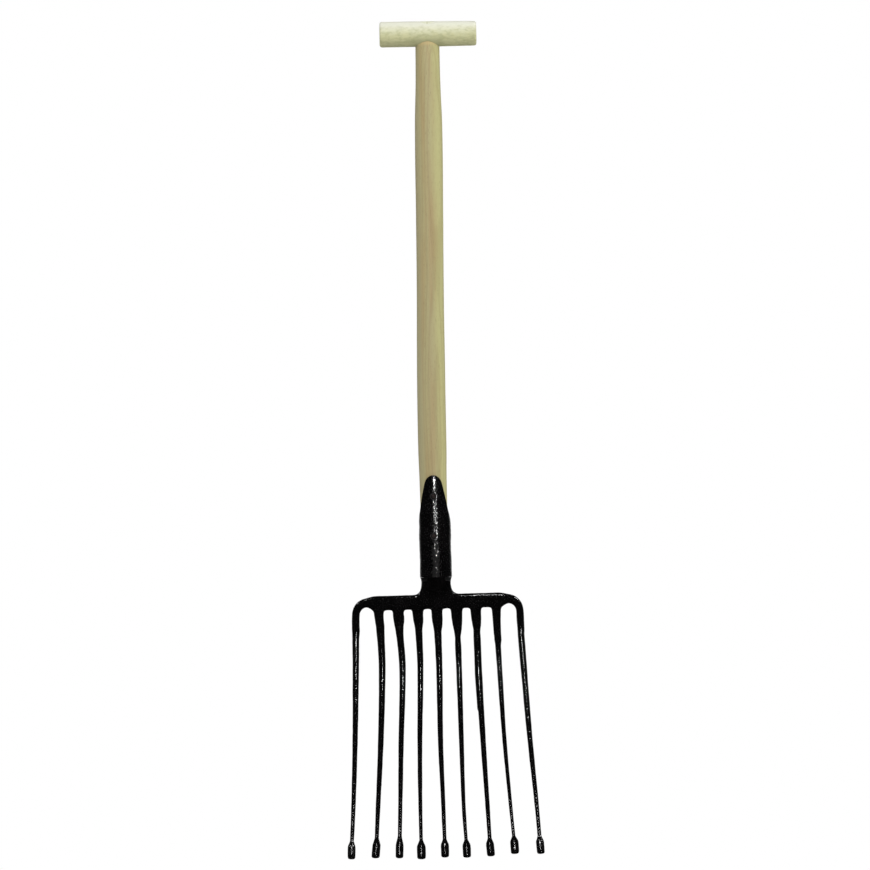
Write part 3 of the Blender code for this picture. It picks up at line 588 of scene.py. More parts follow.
def nail_hole(name, place):
    return add_object(name, turned_nail(place, TOUCH_GAP / 2, ((1.0, OVERRUN), (1.0, 0.0))))


def make_nail(name, place, finish):
    nail = add_object(name, turned_nail(place, 0.0, NAIL_HEAD_FORM), finish)
    roughen(nail.data, HAMMERED, lambda point: 1.0 if point.y < -socket_outer(-place[1]) + MM else 0.0)
    return nail


# Head: the crossbar is a cage of quads that a subdivision surface rounds

def side_of(number):
    middle = (TINE_COUNT + 1) // 2
    return (number > middle) - (number < middle)


def is_outer(number):
    return number in (1, TINE_COUNT)


def fan_place(number, share):
    steps = number - (TINE_COUNT + 1) / 2
    root = steps * ROOT_PITCH
    if is_outer(number):
        root += side_of(number) * (OUTER_ROOT_STEP - ROOT_PITCH)
    return between(root, steps * TIP_PITCH, share)


def bar_y(x):
    return BAR_SETBACK - BAR_BOW * (x / fan_place(TINE_COUNT, 0)) ** 2


def bar_depth(x):
    return between(BAR_NECK_DEPTH, BAR_DEPTH, ease(abs(x) / NECK_REACH))


def tine_point(number, drop):
    """The middle of a tine at a drop, in the head's frame."""
    share = drop / TINE_DROP
    x = fan_place(number, share) + smooth_value(zip(STRAY_STATIONS, STRAY[number - 1]), share)
    radius = TINE_DROP / (math.sin(TIP_ANGLE) - math.sin(ROOT_ANGLE))
    angle = math.asin(math.sin(ROOT_ANGLE) + drop / radius)
    sweep = radius * (math.cos(angle) - math.cos(ROOT_ANGLE))
    return Vector((x, bar_y(fan_place(number, 0)) + sweep, -drop))


def tine_frame(number, drop):
    """Middle of a tine at a drop, with unit vectors across it and through its depth."""
    middle = tine_point(number, drop)
    along = (tine_point(number, min(drop + MM, TINE_DROP)) - tine_point(number, drop - MM)).normalized()
    across = (RIGHT - along * along.x).normalized()
    return middle, across, across.cross(along)


def root_share(drop):
    length = ROOT_TAPER_END - BAR_HEIGHT / 2
    return min(max((ROOT_TAPER_END - drop) / length, 0.0), 1.0) ** ROOT_TAPER_POWER


COAT_AT_BAR = 0.35 * MM
COAT_AT_TIP = 0.15 * MM
COAT_LENGTH = 170 * MM
OUTER_COAT = 0.12 * MM


def rod_width(number, drop):
    share = max(drop - ROOT_TAPER_END, 0) / (TINE_DROP - ROOT_TAPER_END)
    return between(ROD_WIDTH, ROD_END_WIDTH, share) * STOUTNESS[number - 1]


def half_width(number, drop):
    """Half of a root's or rod's width with its coat of paint, which is thickest towards the bar."""
    coat = between(COAT_AT_BAR, COAT_AT_TIP, ease(drop / COAT_LENGTH))
    coat += OUTER_COAT if is_outer(number) else 0
    if drop > ROOT_TAPER_END:
        return rod_width(number, drop) / 2 + coat
    widths = (*ROOT_WIDTHS[number - 1], rod_width(number, ROOT_TAPER_END))
    return smooth_value(zip((*ROOT_STATIONS, ROOT_TAPER_END), widths), drop) / 2 + coat


def half_depth(number, drop):
    return between(rod_width(number, drop) * ROD_FLATNESS, BAR_DEPTH - 2 * UPSET, root_share(drop)) / 2


def cage_growth(sides):
    """How much larger a loop of the cage is than the loop that the rounding makes of it in the end."""
    return 3 / (2 + math.cos(math.tau / sides))


def weld_swell(number, drop):
    away = abs(drop - WELD_DROPS[number - 1]) / UPSET_LENGTH
    return UPSET * max(1 - away**2, 0.0)


def tine_loop(number, drop, wide, deep, sides, growth=1.0, shift=0.0):
    """An oval loop of points square to a tine, counted round from its right by way of the front."""
    middle, across, through = tine_frame(number, drop)
    middle += across * (UPSET_SIDE * weld_swell(number, drop) / UPSET + shift)
    loop = []
    for angle in round_angles(sides):
        side = across * (wide * math.cos(angle)) - through * (deep * math.sin(angle))
        loop.append(middle + side * growth)
    return loop


# Points round the bar's section from its lower front corner, as (through, rise), and its open sides
SECTION = ((-1, -1), (0, -1), (1, -1), (1, 0), (1, 1), (0, 1), (-1, 1), (-1, 0))
UNDERSIDE = (0, 1)
TOPSIDE = (4, 5)
CORNER = 0.9
# Rows of an outer arm below its turn, as shares of the way to its weld
ARM_ROWS = (0.45, 1.0)


def root_loop(number, drop):
    swell = weld_swell(number, drop)
    wide = half_width(number, drop) + swell
    deep = half_depth(number, drop) + swell
    return tine_loop(number, drop, wide, deep, len(SECTION), cage_growth(len(SECTION)))


def section_loop(middle, up, half_high, half_deep):
    loop = []
    for through, rise in SECTION:
        corner = CORNER if through and rise else 1.0
        loop.append(middle + Vector((0, through * half_deep * corner, 0)) + up * (rise * half_high * corner))
    return loop


def arm_sections(number):
    """Sections of the arm that turns down into an outer tine, from the bar to the weld."""
    side = side_of(number)
    turn_drop = SHOULDER_RADIUS - SHOULDER_LIFT
    x = tine_point(number, turn_drop).x - side * SHOULDER_RADIUS
    sections = []
    for i in range(ARC_STEPS + 1):
        share = i / ARC_STEPS
        angle = math.pi / 2 * share
        up = Vector((side * math.sin(angle), 0, math.cos(angle)))
        middle = Vector((x, 0, -turn_drop)) + up * SHOULDER_RADIUS
        middle.y = between(bar_y(x), tine_point(number, turn_drop).y, share)
        thick = between(SHOULDER_THICKNESS / 2, half_width(number, turn_drop), share)
        deep = between(BAR_DEPTH / 2, half_depth(number, turn_drop), share)
        sections.append(section_loop(middle, up, thick, deep))
    for share in ARM_ROWS:
        loop = root_loop(number, between(turn_drop, WELD_DROPS[number - 1], share))
        order = [(3 + i) if side > 0 else (1 - i) for i in range(len(SECTION))]
        sections.append([loop[k % len(SECTION)] for k in order])
    return sections


def sharpen(bm, loop):
    crease = bm.edges.layers.float.get("crease_edge") or bm.edges.layers.float.new("crease_edge")
    for a, b in zip(loop, loop[1:] + loop[:1]):
        bm.edges.get((a, b))[crease] = 1.0


def grow(bm, loop, points, sharp=False):
    following = [bm.verts.new(point) for point in points]
    join_loops(bm, loop, following)
    if sharp:
        sharpen(bm, following)
    return following


def close(bm, loop):
    bm.faces.new(loop)
    sharpen(bm, loop)


# The cage's rows down a root, as shares of the way from its fillet to its weld
ROOT_ROWS = (0.0, 0.4, 0.72, 1.0)


def grow_root(bm, number, left, middle, right):
    loop = [right[1], right[0], middle[0], left[0], left[1], left[2], middle[2], right[2]]
    under_bar = BAR_HEIGHT / 2
    weld = WELD_DROPS[number - 1]
    for share in ROOT_ROWS:
        loop = grow(bm, loop, root_loop(number, between(under_bar + ROOT_FILLET, weld, share)))
    close(bm, loop)


# Loops up the neck: share of its rise, share of its swell to the rim's depth, and width over the rim's
NECK_FORM = ((0.2, 0.22, 1.07), (0.48, 0.55, 1.01), (0.74, 0.86, 1.0), (0.88, 0.95, 1.01))
# The paint rounds the step between the neck and the socket's rim.
NECK_RIM_SWELL = 1.6 * MM
# The relief grows below the rim over this length, so that the tang in the socket stays clean.
RELIEF_RISE = 3 * MM


def grow_neck(bm, sections, to_head):
    front = [section[6] for section in sections]
    back = [section[4] for section in reversed(sections)]
    loop = [sections[0][5]] + front + [sections[-1][5]] + back
    sides = len(loop)
    bar_top = BAR_MIDDLE - BAR_HEIGHT / 2
    shoulder = SOCKET_RIM + TOUCH_GAP
    tang_radius = socket_inner(SOCKET_RIM) - TOUCH_GAP
    rim_radius = NECK_DIAMETER / 2

    def oval(drop, wide, deep, setback):
        points = []
        for turn in round_angles(sides):
            angle = math.pi + turn
            x = axis_x(drop) + wide * math.cos(angle) * cage_growth(sides)
            y = setback * BAR_SETBACK + deep * math.sin(angle) * cage_growth(sides)
            points.append(to_head @ Vector((x, y, -drop)))
        return points

    for rise, swell, flare in NECK_FORM:
        deep = between(BAR_NECK_DEPTH / 2, rim_radius, swell)
        loop = grow(bm, loop, oval(between(bar_top, shoulder, rise), rim_radius * flare, deep, 1 - swell))
    rim_radius += NECK_RIM_SWELL
    loop = grow(bm, loop, oval(shoulder, rim_radius, rim_radius, 0.0), sharp=True)
    loop = grow(bm, loop, oval(shoulder, tang_radius, tang_radius, 0.0), sharp=True)
    loop = grow(bm, loop, oval(SOCKET_RIM - TANG_LENGTH, tang_radius, tang_radius, 0.0))
    close(bm, loop)


def make_crossbar(place, finish):
    """The forging: a bar with nine roots, and a neck that ends in the tang inside the socket."""
    places = []
    for number in range(2, TINE_COUNT):
        x = tine_point(number, BAR_HEIGHT / 2).x
        half_opening = half_width(number, BAR_HEIGHT / 2) + ROOT_FILLET / 3
        places += [(x - half_opening, None), (x, number), (x + half_opening, None)]
        if number < TINE_COUNT - 1:
            following = tine_point(number + 1, BAR_HEIGHT / 2).x
            places.append(((x + following) / 2, None))
    bar = [section_loop(Vector((x, bar_y(x), 0)), UP, BAR_HEIGHT / 2, bar_depth(x) / 2) for x, _ in places]
    left_arm = arm_sections(1)
    loops = list(reversed(left_arm)) + bar + arm_sections(TINE_COUNT)
    bm = bmesh.new()
    rings = [[bm.verts.new(point) for point in loop] for loop in loops]
    first_bar = len(left_arm)

    def nearest_ring(x):
        return first_bar + min(range(len(places)), key=lambda i: abs(places[i][0] - x))

    under_neck = range(nearest_ring(-NECK_REACH), nearest_ring(NECK_REACH) + 1)
    over_root = {first_bar + i: number for i, (_, number) in enumerate(places) if number}
    for i, (first, second) in enumerate(zip(rings, rings[1:])):
        for side in range(len(SECTION)):
            other = (side + 1) % len(SECTION)
            root_opening = side in UNDERSIDE and (i in over_root or i + 1 in over_root)
            neck_opening = side in TOPSIDE and i in under_neck and i + 1 in under_neck
            if not root_opening and not neck_opening:
                bm.faces.new((first[side], second[side], second[other], first[other]))
    close(bm, rings[0])
    close(bm, rings[-1])
    for i, number in over_root.items():
        grow_root(bm, number, rings[i - 1], rings[i], rings[i + 1])
    grow_neck(bm, [rings[i] for i in under_neck], place.inverted())
    loose = [vert for vert in bm.verts if not vert.link_faces]
    bmesh.ops.delete(bm, geom=loose, context="VERTS")

    crossbar = add_object("crossbar_forged", bm, finish)
    rounding = crossbar.modifiers.new("Rounding", "SUBSURF")
    rounding.levels = SUBDIVISIONS
    settle(crossbar)
    crossbar.data.transform(place)
    roughen(crossbar.data, FORGED, lambda point: ease((-point.z - SOCKET_RIM) / RELIEF_RISE), RELIEF_SINK)
    return crossbar


# The ball at a tip: share of its length from the top, and share of its swell from the rod
BALL_FORM = ((0.0, 0.0), (0.05, 0.1), (0.11, 0.28), (0.2, 0.58), (0.27, 0.84), (0.33, 0.96), (0.4, 1.0),
             (0.75, 1.0), (0.92, 0.97))
BALL_SHOULDER = 0.4
# How each ball differs: its width, the sideways lean of its lower end, and how much longer its shoulder is
BALLS = (
    (0.96, 0.7 * MM, 0.0), (1.02, -1.0 * MM, 3 * MM), (0.97, 0.0, 6 * MM),
    (1.08, 0.0, 1.5 * MM), (0.99, -0.3 * MM, 0.0), (1.01, -0.3 * MM, 0.0),
    (0.99, 0.8 * MM, 0.0), (1.03, -0.8 * MM, 0.0), (0.98, 0.0, 0.0),
)


def flank(number, drop):
    """How much a rod is widened on its left side only."""
    if number != FLANK_TINE:
        return 0.0
    fall = ease((drop - FLANK_END + FLANK_STEP) / FLANK_STEP)
    return FLANK_WIDTH * ease((drop - ROOT_TAPER_END) / FLANK_RISE) * (1 - fall)


def make_tine(number, place, finish):
    """A drawn rod with the thickened ring of its weld at the top and a forged ball at the tip."""
    # The painted weld hides the seam, so the rod starts a little inside the root.
    top = WELD_DROPS[number - 1] - WELD_LAP
    tip = TINE_DROP - SHORTFALLS[number - 1]
    ball_top = tip - BALL_LENGTH
    stout, lean, longer = BALLS[number - 1]
    loops = []

    def add_loop(drop, wide, deep, shift=0.0):
        loop = tine_loop(number, drop, wide, deep, TINE_SIDES, 1.0, shift)
        loops.append([place @ point for point in loop])

    count = int((ball_top - longer - top) / TINE_RING_STEP)
    for i in range(count):
        drop = between(top, ball_top - longer, i / count)
        swell = weld_swell(number, drop)
        extra = flank(number, drop) / 2
        add_loop(drop, half_width(number, drop) + swell + extra, half_depth(number, drop) + swell, -extra)
    end, end_full = BALL_FORM[-1]
    for i in range(BALL_STEPS + 1):
        share = end * i / BALL_STEPS
        drop = ball_top + BALL_LENGTH * share - longer * max(1 - share / BALL_SHOULDER, 0.0)
        full = smooth_value(BALL_FORM, share)
        wide = between(half_width(number, drop), BALL_WIDTH / 2 * stout, full)
        deep = between(half_depth(number, drop), BALL_DEPTH / 2, full)
        add_loop(drop, wide, deep, lean * (share - BALL_SHOULDER) * ease(2 * share))
    for i in range(1, BALL_CORNER_STEPS + 1):
        angle = math.pi / 2 * i / BALL_CORNER_STEPS
        drop = between(ball_top + BALL_LENGTH * end, tip, math.sin(angle))
        shrink = between(BALL_FACE / BALL_WIDTH, end_full, math.cos(angle))
        add_loop(drop, BALL_WIDTH / 2 * stout * shrink, BALL_DEPTH / 2 * shrink, lean * (1 - BALL_SHOULDER))
    tine = add_object("tine_%d_drawn" % number, loft(loops), finish)
    roughen(tine.data, DRAWN, inward=RELIEF_SINK)
    return tine


# Materials: a helper adds its nodes to the tree of the sockets that it is given

def set_inputs(node, inputs):
    """Link a node's inputs to sockets, or set them to values."""
    for key, value in inputs.items():
        if isinstance(value, bpy.types.NodeSocket):
            node.id_data.links.new(value, node.inputs[key])
        else:
            node.inputs[key].default_value = value


def add_node(tree, kind, inputs=None, **settings):
    made = tree.nodes.new("ShaderNode" + kind)
    for key, value in settings.items():
        setattr(made, key, value)
    set_inputs(made, inputs or {})
    return made


def new_finish(name):
    """A material with its shader and its object coordinates."""
    made = bpy.data.materials.new(name)
    made.use_nodes = True
    coords = add_node(made.node_tree, "TexCoord").outputs["Object"]
    return made, made.node_tree.nodes["Principled BSDF"], coords


def maths(operation, *values, clamp=False):
    tree = next(value.id_data for value in values if isinstance(value, bpy.types.NodeSocket))
    return add_node(tree, "Math", dict(enumerate(values)), operation=operation, use_clamp=clamp).outputs[0]


def plus(a, b):
    return maths("ADD", a, b)


def minus(a, b):
    return maths("SUBTRACT", a, b)


def times(a, b):
    return maths("MULTIPLY", a, b)


def mixed(factor, a, b):
    """Mix of two colours."""
    colours = [(*c, 1.0) if isinstance(c, tuple) else c for c in (a, b)]
    inputs = {0: factor, 6: colours[0], 7: colours[1]}
    return add_node(factor.id_data, "Mix", inputs, data_type="RGBA").outputs[2]


def ranged(value, low, high, to_low=0.0, to_high=1.0):
    inputs = {0: value, 1: low, 2: high, 3: to_low, 4: to_high}
    return add_node(value.id_data, "MapRange", inputs, interpolation_type="SMOOTHSTEP").outputs[0]


def speckle(coords, size, detail=2.0, roughness=0.5):
    """Noise whose features are of a given size."""
    inputs = {"Vector": coords, "Scale": 1 / size, "Detail": detail, "Roughness": roughness}
    return add_node(coords.id_data, "TexNoise", inputs).outputs[0]


def bumped(height, distance, strength=1.0, under=None):
    inputs = {"Strength": strength, "Distance": distance, "Height": height}
    if under:
        inputs["Normal"] = under
    return add_node(height.id_data, "Bump", inputs).outputs[0]


def parts_of(coords):
    return add_node(coords.id_data, "SeparateXYZ", {0: coords}).outputs


def joined(*parts):
    return add_node(parts[0].id_data, "CombineXYZ", dict(enumerate(parts))).outputs[0]


def length_of(vector):
    return add_node(vector.id_data, "VectorMath", {0: vector}, operation="LENGTH").outputs["Value"]


def distance_from(place, a, b):
    """Distance of two coordinates from a place in their plane."""
    return length_of(joined(minus(a, place[0]), minus(b, place[1])))


RING_COLOUR = (0.20, 0.13, 0.05)
FIBRE_COLOUR = (0.24, 0.16, 0.07)
PORE_COLOUR = (0.13, 0.08, 0.035)


def wood(name, grain, pith, pale, warm, greenish, ring_step, roughness, contrast):
    """Straight-grained wood: growth rings round a pith line, long streaks, fine fibres and short pores.

    The grain runs along X or Z, and the pith is a place in the plane across it. The contrast is that of
    rings, fibres and pores.
    """
    made, shader, coords = new_finish(name)
    split = parts_of(coords)
    across, through, along = (split[i] for i in ((1, 2, 0) if grain == "X" else (0, 1, 2)))

    def streaks(wide, long, detail=2.0):
        sizes = ((across, wide), (through, wide), (along, long))
        return speckle(joined(*[maths("DIVIDE", part, size) for part, size in sizes]), 1.0, detail)

    # Growth rings, bent a little along the grain
    distance = plus(distance_from(pith, across, through), times(streaks(26 * MM, 300 * MM), 9 * MM))
    late = ranged(maths("SINE", times(distance, math.tau / ring_step)), 0.1, 1.0)

    base = mixed(ranged(streaks(9 * MM, 170 * MM), 0.35, 0.68), pale, warm)
    # Greener towards one side across the grain: on the shaft its right side, partly the wood's own tone and
    # partly a painted sheen of light from the right.
    green = ranged(plus(across, times(streaks(12 * MM, 120 * MM), 14 * MM)), 6 * MM, 20 * MM)
    base = mixed(times(green, 0.8), base, greenish)
    base = mixed(times(late, 0.13 * contrast), base, RING_COLOUR)
    fibre = streaks(0.8 * MM, 16 * MM, 3.0)
    base = mixed(ranged(fibre, 0.52, 0.8, 0.0, 0.28 * contrast), base, FIBRE_COLOUR)
    pores = ranged(streaks(0.5 * MM, 6 * MM), 0.63, 0.72, 0.0, 0.35 * contrast)
    base = mixed(pores, base, PORE_COLOUR)
    set_inputs(shader, {
        "Base Color": base,
        "Roughness": ranged(fibre, 0.3, 0.75, roughness - 0.06, roughness + 0.08),
        "Normal": bumped(minus(fibre, times(pores, 1.5)), 0.05 * MM)})
    return made, shader, coords, base


def shaft_finish():
    # The greenish right side that wood() gives the shaft is partly a painted sheen of light from the right.
    made, shader, coords, base = wood(
        "shaft_wood", grain="Z", pith=(-24 * MM, 46 * MM), pale=(0.375, 0.33, 0.165),
        warm=(0.37, 0.29, 0.137), greenish=(0.43, 0.42, 0.195), ring_step=2.6 * MM, roughness=0.55,
        contrast=1.4)
    x, _, z = parts_of(coords)
    # Painted sheen: the left side is greyer, as glancing light on that side would make it.
    base = mixed(ranged(x, -20 * MM, -8 * MM, 0.6, 0.0), base, (0.38, 0.35, 0.205))
    # The thin edge of the cope shows fresh, warmer wood against the grip.
    base = mixed(ranged(z, 0.0, 5 * MM, 0.0, 0.5), base, (0.52, 0.38, 0.17))
    # The tenon's sanded end is as pale as the grip.
    base = mixed(ranged(z, 18 * MM, 24 * MM), base, (0.67, 0.68, 0.51))
    set_inputs(shader, {"Base Color": base})
    return made


def grip_finish():
    made, shader, coords, base = wood(
        "grip_wood", grain="X", pith=(-52 * MM, -30 * MM), pale=(0.66, 0.665, 0.54),
        warm=(0.64, 0.635, 0.50), greenish=(0.62, 0.64, 0.50), ring_step=3.1 * MM, roughness=0.5,
        contrast=0.35)
    x, _, z = parts_of(coords)
    # The underside is painted darker and yellower as shade, with a cloudy edge to it, soft blotches lie all
    # over, and the top is painted paler as a highlight.
    cloud = speckle(coords, 11 * MM, 3.0, 0.6)
    height = plus(z, times(cloud, 12 * MM))
    base = mixed(ranged(height, 42 * MM, 18 * MM, 0.0, 0.8), base, (0.48, 0.47, 0.22))
    base = mixed(ranged(cloud, 0.35, 0.7, 0.0, 0.3), base, (0.44, 0.45, 0.26))
    base = mixed(ranged(z, 22 * MM, 34 * MM, 0.0, 0.6), base, (0.745, 0.75, 0.66))
    # Soft grey-green mottles lie along the grain, low on the sides.
    stretched = add_node(coords.id_data, "VectorMath", {0: coords, 1: (0.5, 1.0, 1.0)}, operation="MULTIPLY")
    mottle = ranged(speckle(stretched.outputs[0], 4.5 * MM, 2.0, 0.6), 0.4, 0.72, 0.0, 0.5)
    mottle = times(mottle, ranged(height, 40 * MM, 28 * MM, 0.0, 1.0))
    base = mixed(mottle, base, (0.30, 0.31, 0.15))
    # Painted shade darkens the grip beside the shaft, where the two meet.
    shade_beside_shaft = times(ranged(maths("ABSOLUTE", x), 17 * MM, 30 * MM, 0.45, 0.0),
                   ranged(z, 6 * MM, 20 * MM, 1.0, 0.0))
    set_inputs(shader, {"Base Color": mixed(shade_beside_shaft, base, (0.30, 0.30, 0.15))})
    return made


def wedge_finish():
    return wood(
        "wedge_wood", grain="Z", pith=(60 * MM, 10 * MM), pale=(0.64, 0.645, 0.47), warm=(0.63, 0.635, 0.46),
        greenish=(0.62, 0.64, 0.46), ring_step=1.8 * MM, roughness=0.6, contrast=0.3)[0]


def paint_finish():
    """Gloss black paint brushed over forged steel: orange peel, dull flecks, and grey rings at the nails, worn
    bare and partly a painted highlight.
    """
    made, shader, coords = new_finish("black_paint")
    x, y, z = parts_of(coords)
    patches = speckle(coords, 14 * MM, 3.0)
    peel = speckle(coords, 2.0 * MM, 0.0)
    grit = speckle(coords, 0.9 * MM, 2.0)
    base = mixed(ranged(patches, 0.35, 0.7), (0.0009, 0.0008, 0.0009), (0.0021, 0.0018, 0.002))
    front = maths("LESS_THAN", y, 0.0)
    # Grey rings on the lips round the nails: paint worn bare there, and partly a painted highlight of the lit
    # lip.
    edges = [plus(distance_from(place, x, z), times(peel, 1.6 * MM)) for place in NAIL_PLACES]
    rings = [times(ranged(edge, LIP_RADIUS - 0.2 * MM, LIP_RADIUS + 1.1 * MM, 1.0, 0.0), front)
             for edge in edges]
    base = mixed(times(maths("MAXIMUM", *rings), 0.4), base, (0.06, 0.055, 0.055))
    # Dull flecks break up the gloss, more of them down the foot of the socket and none on the neck.
    away = maths("ABSOLUTE", x)
    above_rim = ranged(z, -SOCKET_RIM - MM, -SOCKET_RIM)
    low = times(ranged(z, 34 * MM - SOCKET_RIM, 60 * MM - SOCKET_RIM, 0.36, 0.0), above_rim)
    foot = times(ranged(away, 2 * MM, 8 * MM, 1.0, 0.0), low)
    fleck = speckle(coords, 1.8 * MM, 1.0)
    closed = plus(fleck, times(foot, ranged(grit, 0.36, 0.42)))
    dull = plus(ranged(fleck, 0.57, 0.72, 0.0, 0.4), ranged(closed, 0.68, 0.72))
    below_neck = ranged(z, 20 * MM - BAR_MIDDLE, 10 * MM - BAR_MIDDLE)
    dull = times(dull, maths("MAXIMUM", above_rim, below_neck))
    # The paint's swell at the ends of the rim is dull.
    swell = minus(ranged(z, -SOCKET_RIM - 7 * MM, -SOCKET_RIM - 4 * MM), above_rim)
    dull = plus(dull, times(swell, ranged(away, 11 * MM, 15 * MM, 0.0, 0.8)))
    # The paint is smoothest at the tip of the tongue, on the bar and along the inner tines.
    coarse = ranged(z, -TONGUE_TIP - 60 * MM, -TONGUE_TIP, 0.45, 0.2)
    fine = ranged(z, -SOCKET_RIM - 2 * MM, -SOCKET_RIM, 0.35, 1.0)
    fine = times(fine, ranged(z, -BAR_MIDDLE - 60 * MM, -BAR_MIDDLE - 20 * MM, 0.5, 1.0))
    fine = maths("MAXIMUM", fine, ranged(z, -BAR_MIDDLE - 330 * MM, -BAR_MIDDLE - 250 * MM, 0.8, 0.0))
    fine = maths("MAXIMUM", fine, ranged(away, 100 * MM, 112 * MM, 0.0, 0.9))
    normal = bumped(peel, 0.75 * MM, times(coarse, fine))
    set_inputs(shader, {
        "Base Color": base, "Specular IOR Level": 0.9,
        "Roughness": maths("ADD", ranged(patches, 0.3, 0.75, 0.06, 0.14), dull, clamp=True),
        "Normal": bumped(grit, 0.015 * MM, 1.0, normal)})
    return made


def nail_finish():
    """Plain steel nails gone brown."""
    made, shader, coords = new_finish("nail_steel")
    x, _, z = parts_of(coords)
    rust = speckle(coords, 1.6 * MM, 4.0, 0.65)
    brown = mixed(ranged(rust, 0.38, 0.66), (0.007, 0.0035, 0.003), (0.026, 0.011, 0.008))
    # Paint has run over the rim of each head.
    away = maths("MINIMUM", *[distance_from(place, x, z) for place in NAIL_PLACES])
    bare = ranged(plus(away, times(rust, 1.6 * MM)), 3.1 * MM, 4.3 * MM, 1.0, 0.0)
    set_inputs(shader, {
        "Base Color": mixed(bare, (0.004, 0.0036, 0.004), brown), "Metallic": 0.3,
        "Roughness": ranged(rust, 0.3, 0.7, 0.45, 0.75), "Normal": bumped(rust, 0.12 * MM)})
    return made


# Studio

WHITE = (1.0, 1.0, 1.0, 1.0)
FLOOR_COLOUR = (0.82, 0.82, 0.81, 1.0)
FLOOR_ROUGHNESS = 0.8
FLOOR_DROP = 1.4
FLOOR_RADIUS = 1.15
# Levels of the floor and of the dark room in gloss, and of the even light from all round
FLOOR_IN_GLOSS = 0.008
ROOM_IN_GLOSS = 0.012
AMBIENT = 0.46

LIGHT_TARGET = Vector((0, 0, -0.6))
# Panels: name, azimuth and elevation in degrees, distance, width and height in metres, and radiance
SOFT_PANELS = (
    ("key", 14, 50, 3.0, 1.4, 1.2, 7.4),
    ("fill", 0, 22, 4.0, 1.0, 1.0, 16.0),
    ("right_side", 95, 5, 3.0, 0.9, 2.0, 6.5),
    ("left_side", -100, 5, 3.0, 0.9, 2.0, 3.2),
    ("back_fill", 175, 35, 3.0, 1.2, 1.2, 4.0),
    ("back", 180, 5, 3.0, 0.9, 2.0, 1.6),
)
# The same for the small panels that the gloss shows, and the group of pieces that each one reaches
GLOSS_PANELS = (
    ("low_strip", 7, 0.2, 4.0, 0.25, 0.21, 165.0, "handle"),
    ("rod_strip", 7, -5.0, 4.0, 0.25, 0.08, 200.0, "rods"),
    ("high_strip", -7, 38, 4.0, 0.42, 1.0, 28.0, "handle"),
    ("ball_strip", -5, 38, 4.0, 0.28, 1.0, 22.0, "tines"),
    ("bar_strip", -9, 38, 4.0, 0.3, 0.4, 30.0, "bar"),
    ("tine_strip", 10, -15, 4.0, 0.25, 0.8, 70.0, "outer"),
    ("tip_strip", 3, 30, 4.0, 0.25, 0.35, 48.0, "tips"),
    ("right_spot", 62, 42, 4.0, 0.9, 0.35, 60.0, "bar_and_outer"),
    ("left_spot", -65, 42, 4.0, 0.7, 0.35, 35.0, "bar_and_outer"),
)


def make_floor():
    """A pale floor under the hanging fork. To the camera it turns to plain white towards its edge."""
    made, shader, coords = new_finish("floor")
    tree = made.node_tree
    set_inputs(shader, {"Base Color": FLOOR_COLOUR, "Roughness": FLOOR_ROUGHNESS})
    white = add_node(tree, "Emission", {"Color": WHITE, "Strength": 1.0})
    fade = ranged(length_of(coords), 0.35 * FLOOR_RADIUS, 0.98 * FLOOR_RADIUS, 0.55, 1.0)
    path = add_node(tree, "LightPath").outputs
    share = times(path["Is Camera Ray"], fade)
    mix = add_node(tree, "MixShader", {0: share, 1: shader.outputs[0], 2: white.outputs[0]})
    # Gloss shows little of the floor, as the photograph's black paint does.
    dim = add_node(tree, "Emission", {"Color": WHITE, "Strength": FLOOR_IN_GLOSS})
    mix = add_node(tree, "MixShader", {0: path["Is Glossy Ray"], 1: mix.outputs[0], 2: dim.outputs[0]})
    set_inputs(tree.nodes["Material Output"], {"Surface": mix.outputs[0]})
    bm = bmesh.new()
    bmesh.ops.create_circle(bm, cap_ends=True, radius=FLOOR_RADIUS, segments=FLOOR_SIDES)
    floor = add_object("floor", bm, made)
    floor.location = (0, 0, -FLOOR_DROP)


def make_world():
    """White to the camera, dark in gloss but for a pale patch behind the fork, and an even dim light."""
    world = bpy.data.worlds.new("studio")
    bpy.context.scene.world = world
    world.use_nodes = True
    tree = world.node_tree
    path = add_node(tree, "LightPath").outputs
    way = parts_of(add_node(tree, "TexCoord").outputs["Generated"])
    level_way = ranged(maths("ABSOLUTE", way[2]), 0.2, 0.45, 0.6, 0.0)
    backdrop = plus(times(ranged(way[1], 0.65, 0.95), level_way), ROOM_IN_GLOSS)
    gloss = path["Is Glossy Ray"]
    level = plus(times(minus(1.0, gloss), AMBIENT), times(gloss, backdrop))
    seen = maths("MAXIMUM", path["Is Camera Ray"], path["Is Transmission Ray"])
    set_inputs(tree.nodes["Background"], {"Color": WHITE, "Strength": maths("MAXIMUM", level, seen)})


def make_panel(name, azimuth, elevation, distance, width, height, radiance):
    """A soft panel that faces the fork. Azimuth 0 is the front and positive is to the right."""
    light = bpy.data.lights.new(name, "AREA")
    light.shape = "RECTANGLE"
    light.size = width
    light.size_y = height
    light.energy = radiance * math.pi * width * height
    panel = bpy.data.objects.new(name, light)
    bpy.context.scene.collection.objects.link(panel)
    a, e = math.radians(azimuth), math.radians(elevation)
    away = Vector((math.sin(a) * math.cos(e), -math.cos(a) * math.cos(e), math.sin(e)))
    panel.location = LIGHT_TARGET + away * distance
    panel.rotation_euler = away.to_track_quat("Z", "Y").to_euler()
    return panel


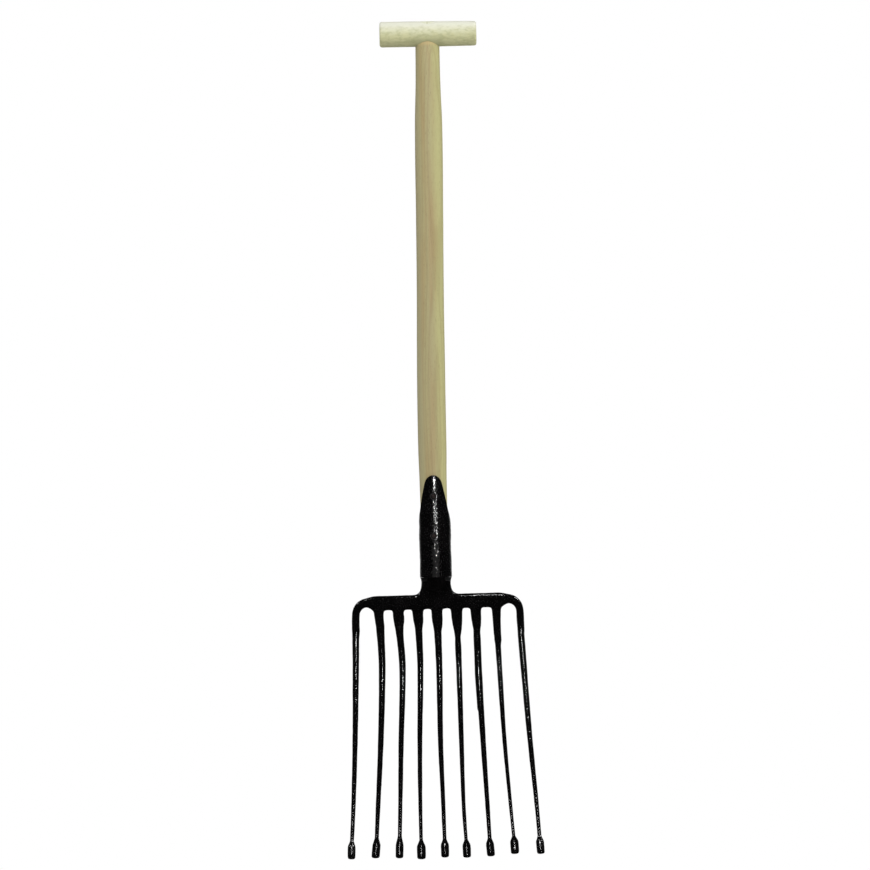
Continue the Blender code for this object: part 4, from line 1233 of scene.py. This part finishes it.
def make_lights(pieces):
    """Large soft panels light the wood. Black gloss shows only small bright panels and the one at the back."""
    for setting in SOFT_PANELS:
        make_panel(*setting).visible_glossy = setting[0] == "back"
    tines = [node for node in pieces if node.startswith("tine_")]
    outer = [tines[0], tines[-1]]
    groups = {
        "handle": [node for node in pieces if node != "crossbar" and node not in tines],
        "bar": ["crossbar"], "bar_and_outer": ["crossbar"] + outer, "outer": outer,
        "tips": outer + ["tine_3", "tine_8"], "rods": tines[1:], "tines": tines}
    for *setting, group in GLOSS_PANELS:
        panel = make_panel(*setting)
        # The rest of the fork and of the room hides these from all other pieces.
        lit = bpy.data.collections.new(panel.name)
        for node in groups[group]:
            lit.objects.link(pieces[node])
        panel.light_linking.receiver_collection = lit
        panel.visible_diffuse = False


def make_camera():
    camera = bpy.data.cameras.new("camera")
    camera.sensor_width = CAMERA_SENSOR
    camera.lens = CAMERA_SENSOR * CAMERA_DISTANCE / (PICTURE_SIZE * PIXEL)
    camera.clip_end = 5 * CAMERA_DISTANCE
    obj = bpy.data.objects.new("camera", camera)
    bpy.context.scene.collection.objects.link(obj)
    right = Vector((math.cos(PICTURE_TURN), 0, -math.sin(PICTURE_TURN)))
    up = Vector((math.sin(PICTURE_TURN), 0, math.cos(PICTURE_TURN)))
    back = right.cross(up)
    turn = Matrix((right, up, back)).transposed().to_4x4()
    obj.matrix_world = Matrix.Translation(PICTURE_MIDDLE + back * CAMERA_DISTANCE) @ turn
    bpy.context.scene.camera = obj


def place_piece(piece, node):
    """The piece stands for a CAD node and moves with the fork."""
    # Coats and relief stay inside the CAD's box.
    low, high = cad_box
    for vertex in piece.data.vertices:
        vertex.co = [min(max(at, low[i]), high[i]) for i, at in enumerate(vertex.co)]
    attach(piece, "root")
    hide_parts(node)


def main():
    make_camera()
    make_world()
    make_floor()
    bpy.context.scene.view_settings.view_transform = "Standard"

    nails = dict(zip(("upper_nail", "lower_nail"), NAIL_PLACES))
    holes = [nail_hole(name + "_hole", place) for name, place in nails.items()]
    paint, steel = paint_finish(), nail_finish()
    pieces = {"grip": make_grip(grip_finish()), "shaft": make_shaft(shaft_finish(), holes)}
    pieces["grip_wedge"] = add_object("wedge_sawn", wedge_shape(0.0, WEDGE_WIDTH, 0.0), wedge_finish())
    pieces["socket"] = make_socket(paint, holes)
    for hole in holes:
        bpy.data.objects.remove(hole)
    for name, place in nails.items():
        pieces[name] = make_nail(name + "_hammered", place, steel)

    place = Matrix.Translation((0, 0, -BAR_MIDDLE)) @ Matrix.Rotation(-HEAD_LEAN, 4, "Y")
    pieces["crossbar"] = make_crossbar(place, paint)
    for number in range(1, TINE_COUNT + 1):
        pieces["tine_%d" % number] = make_tine(number, place, paint)
    for node, piece in pieces.items():
        place_piece(piece, node)
    make_lights(pieces)


main()
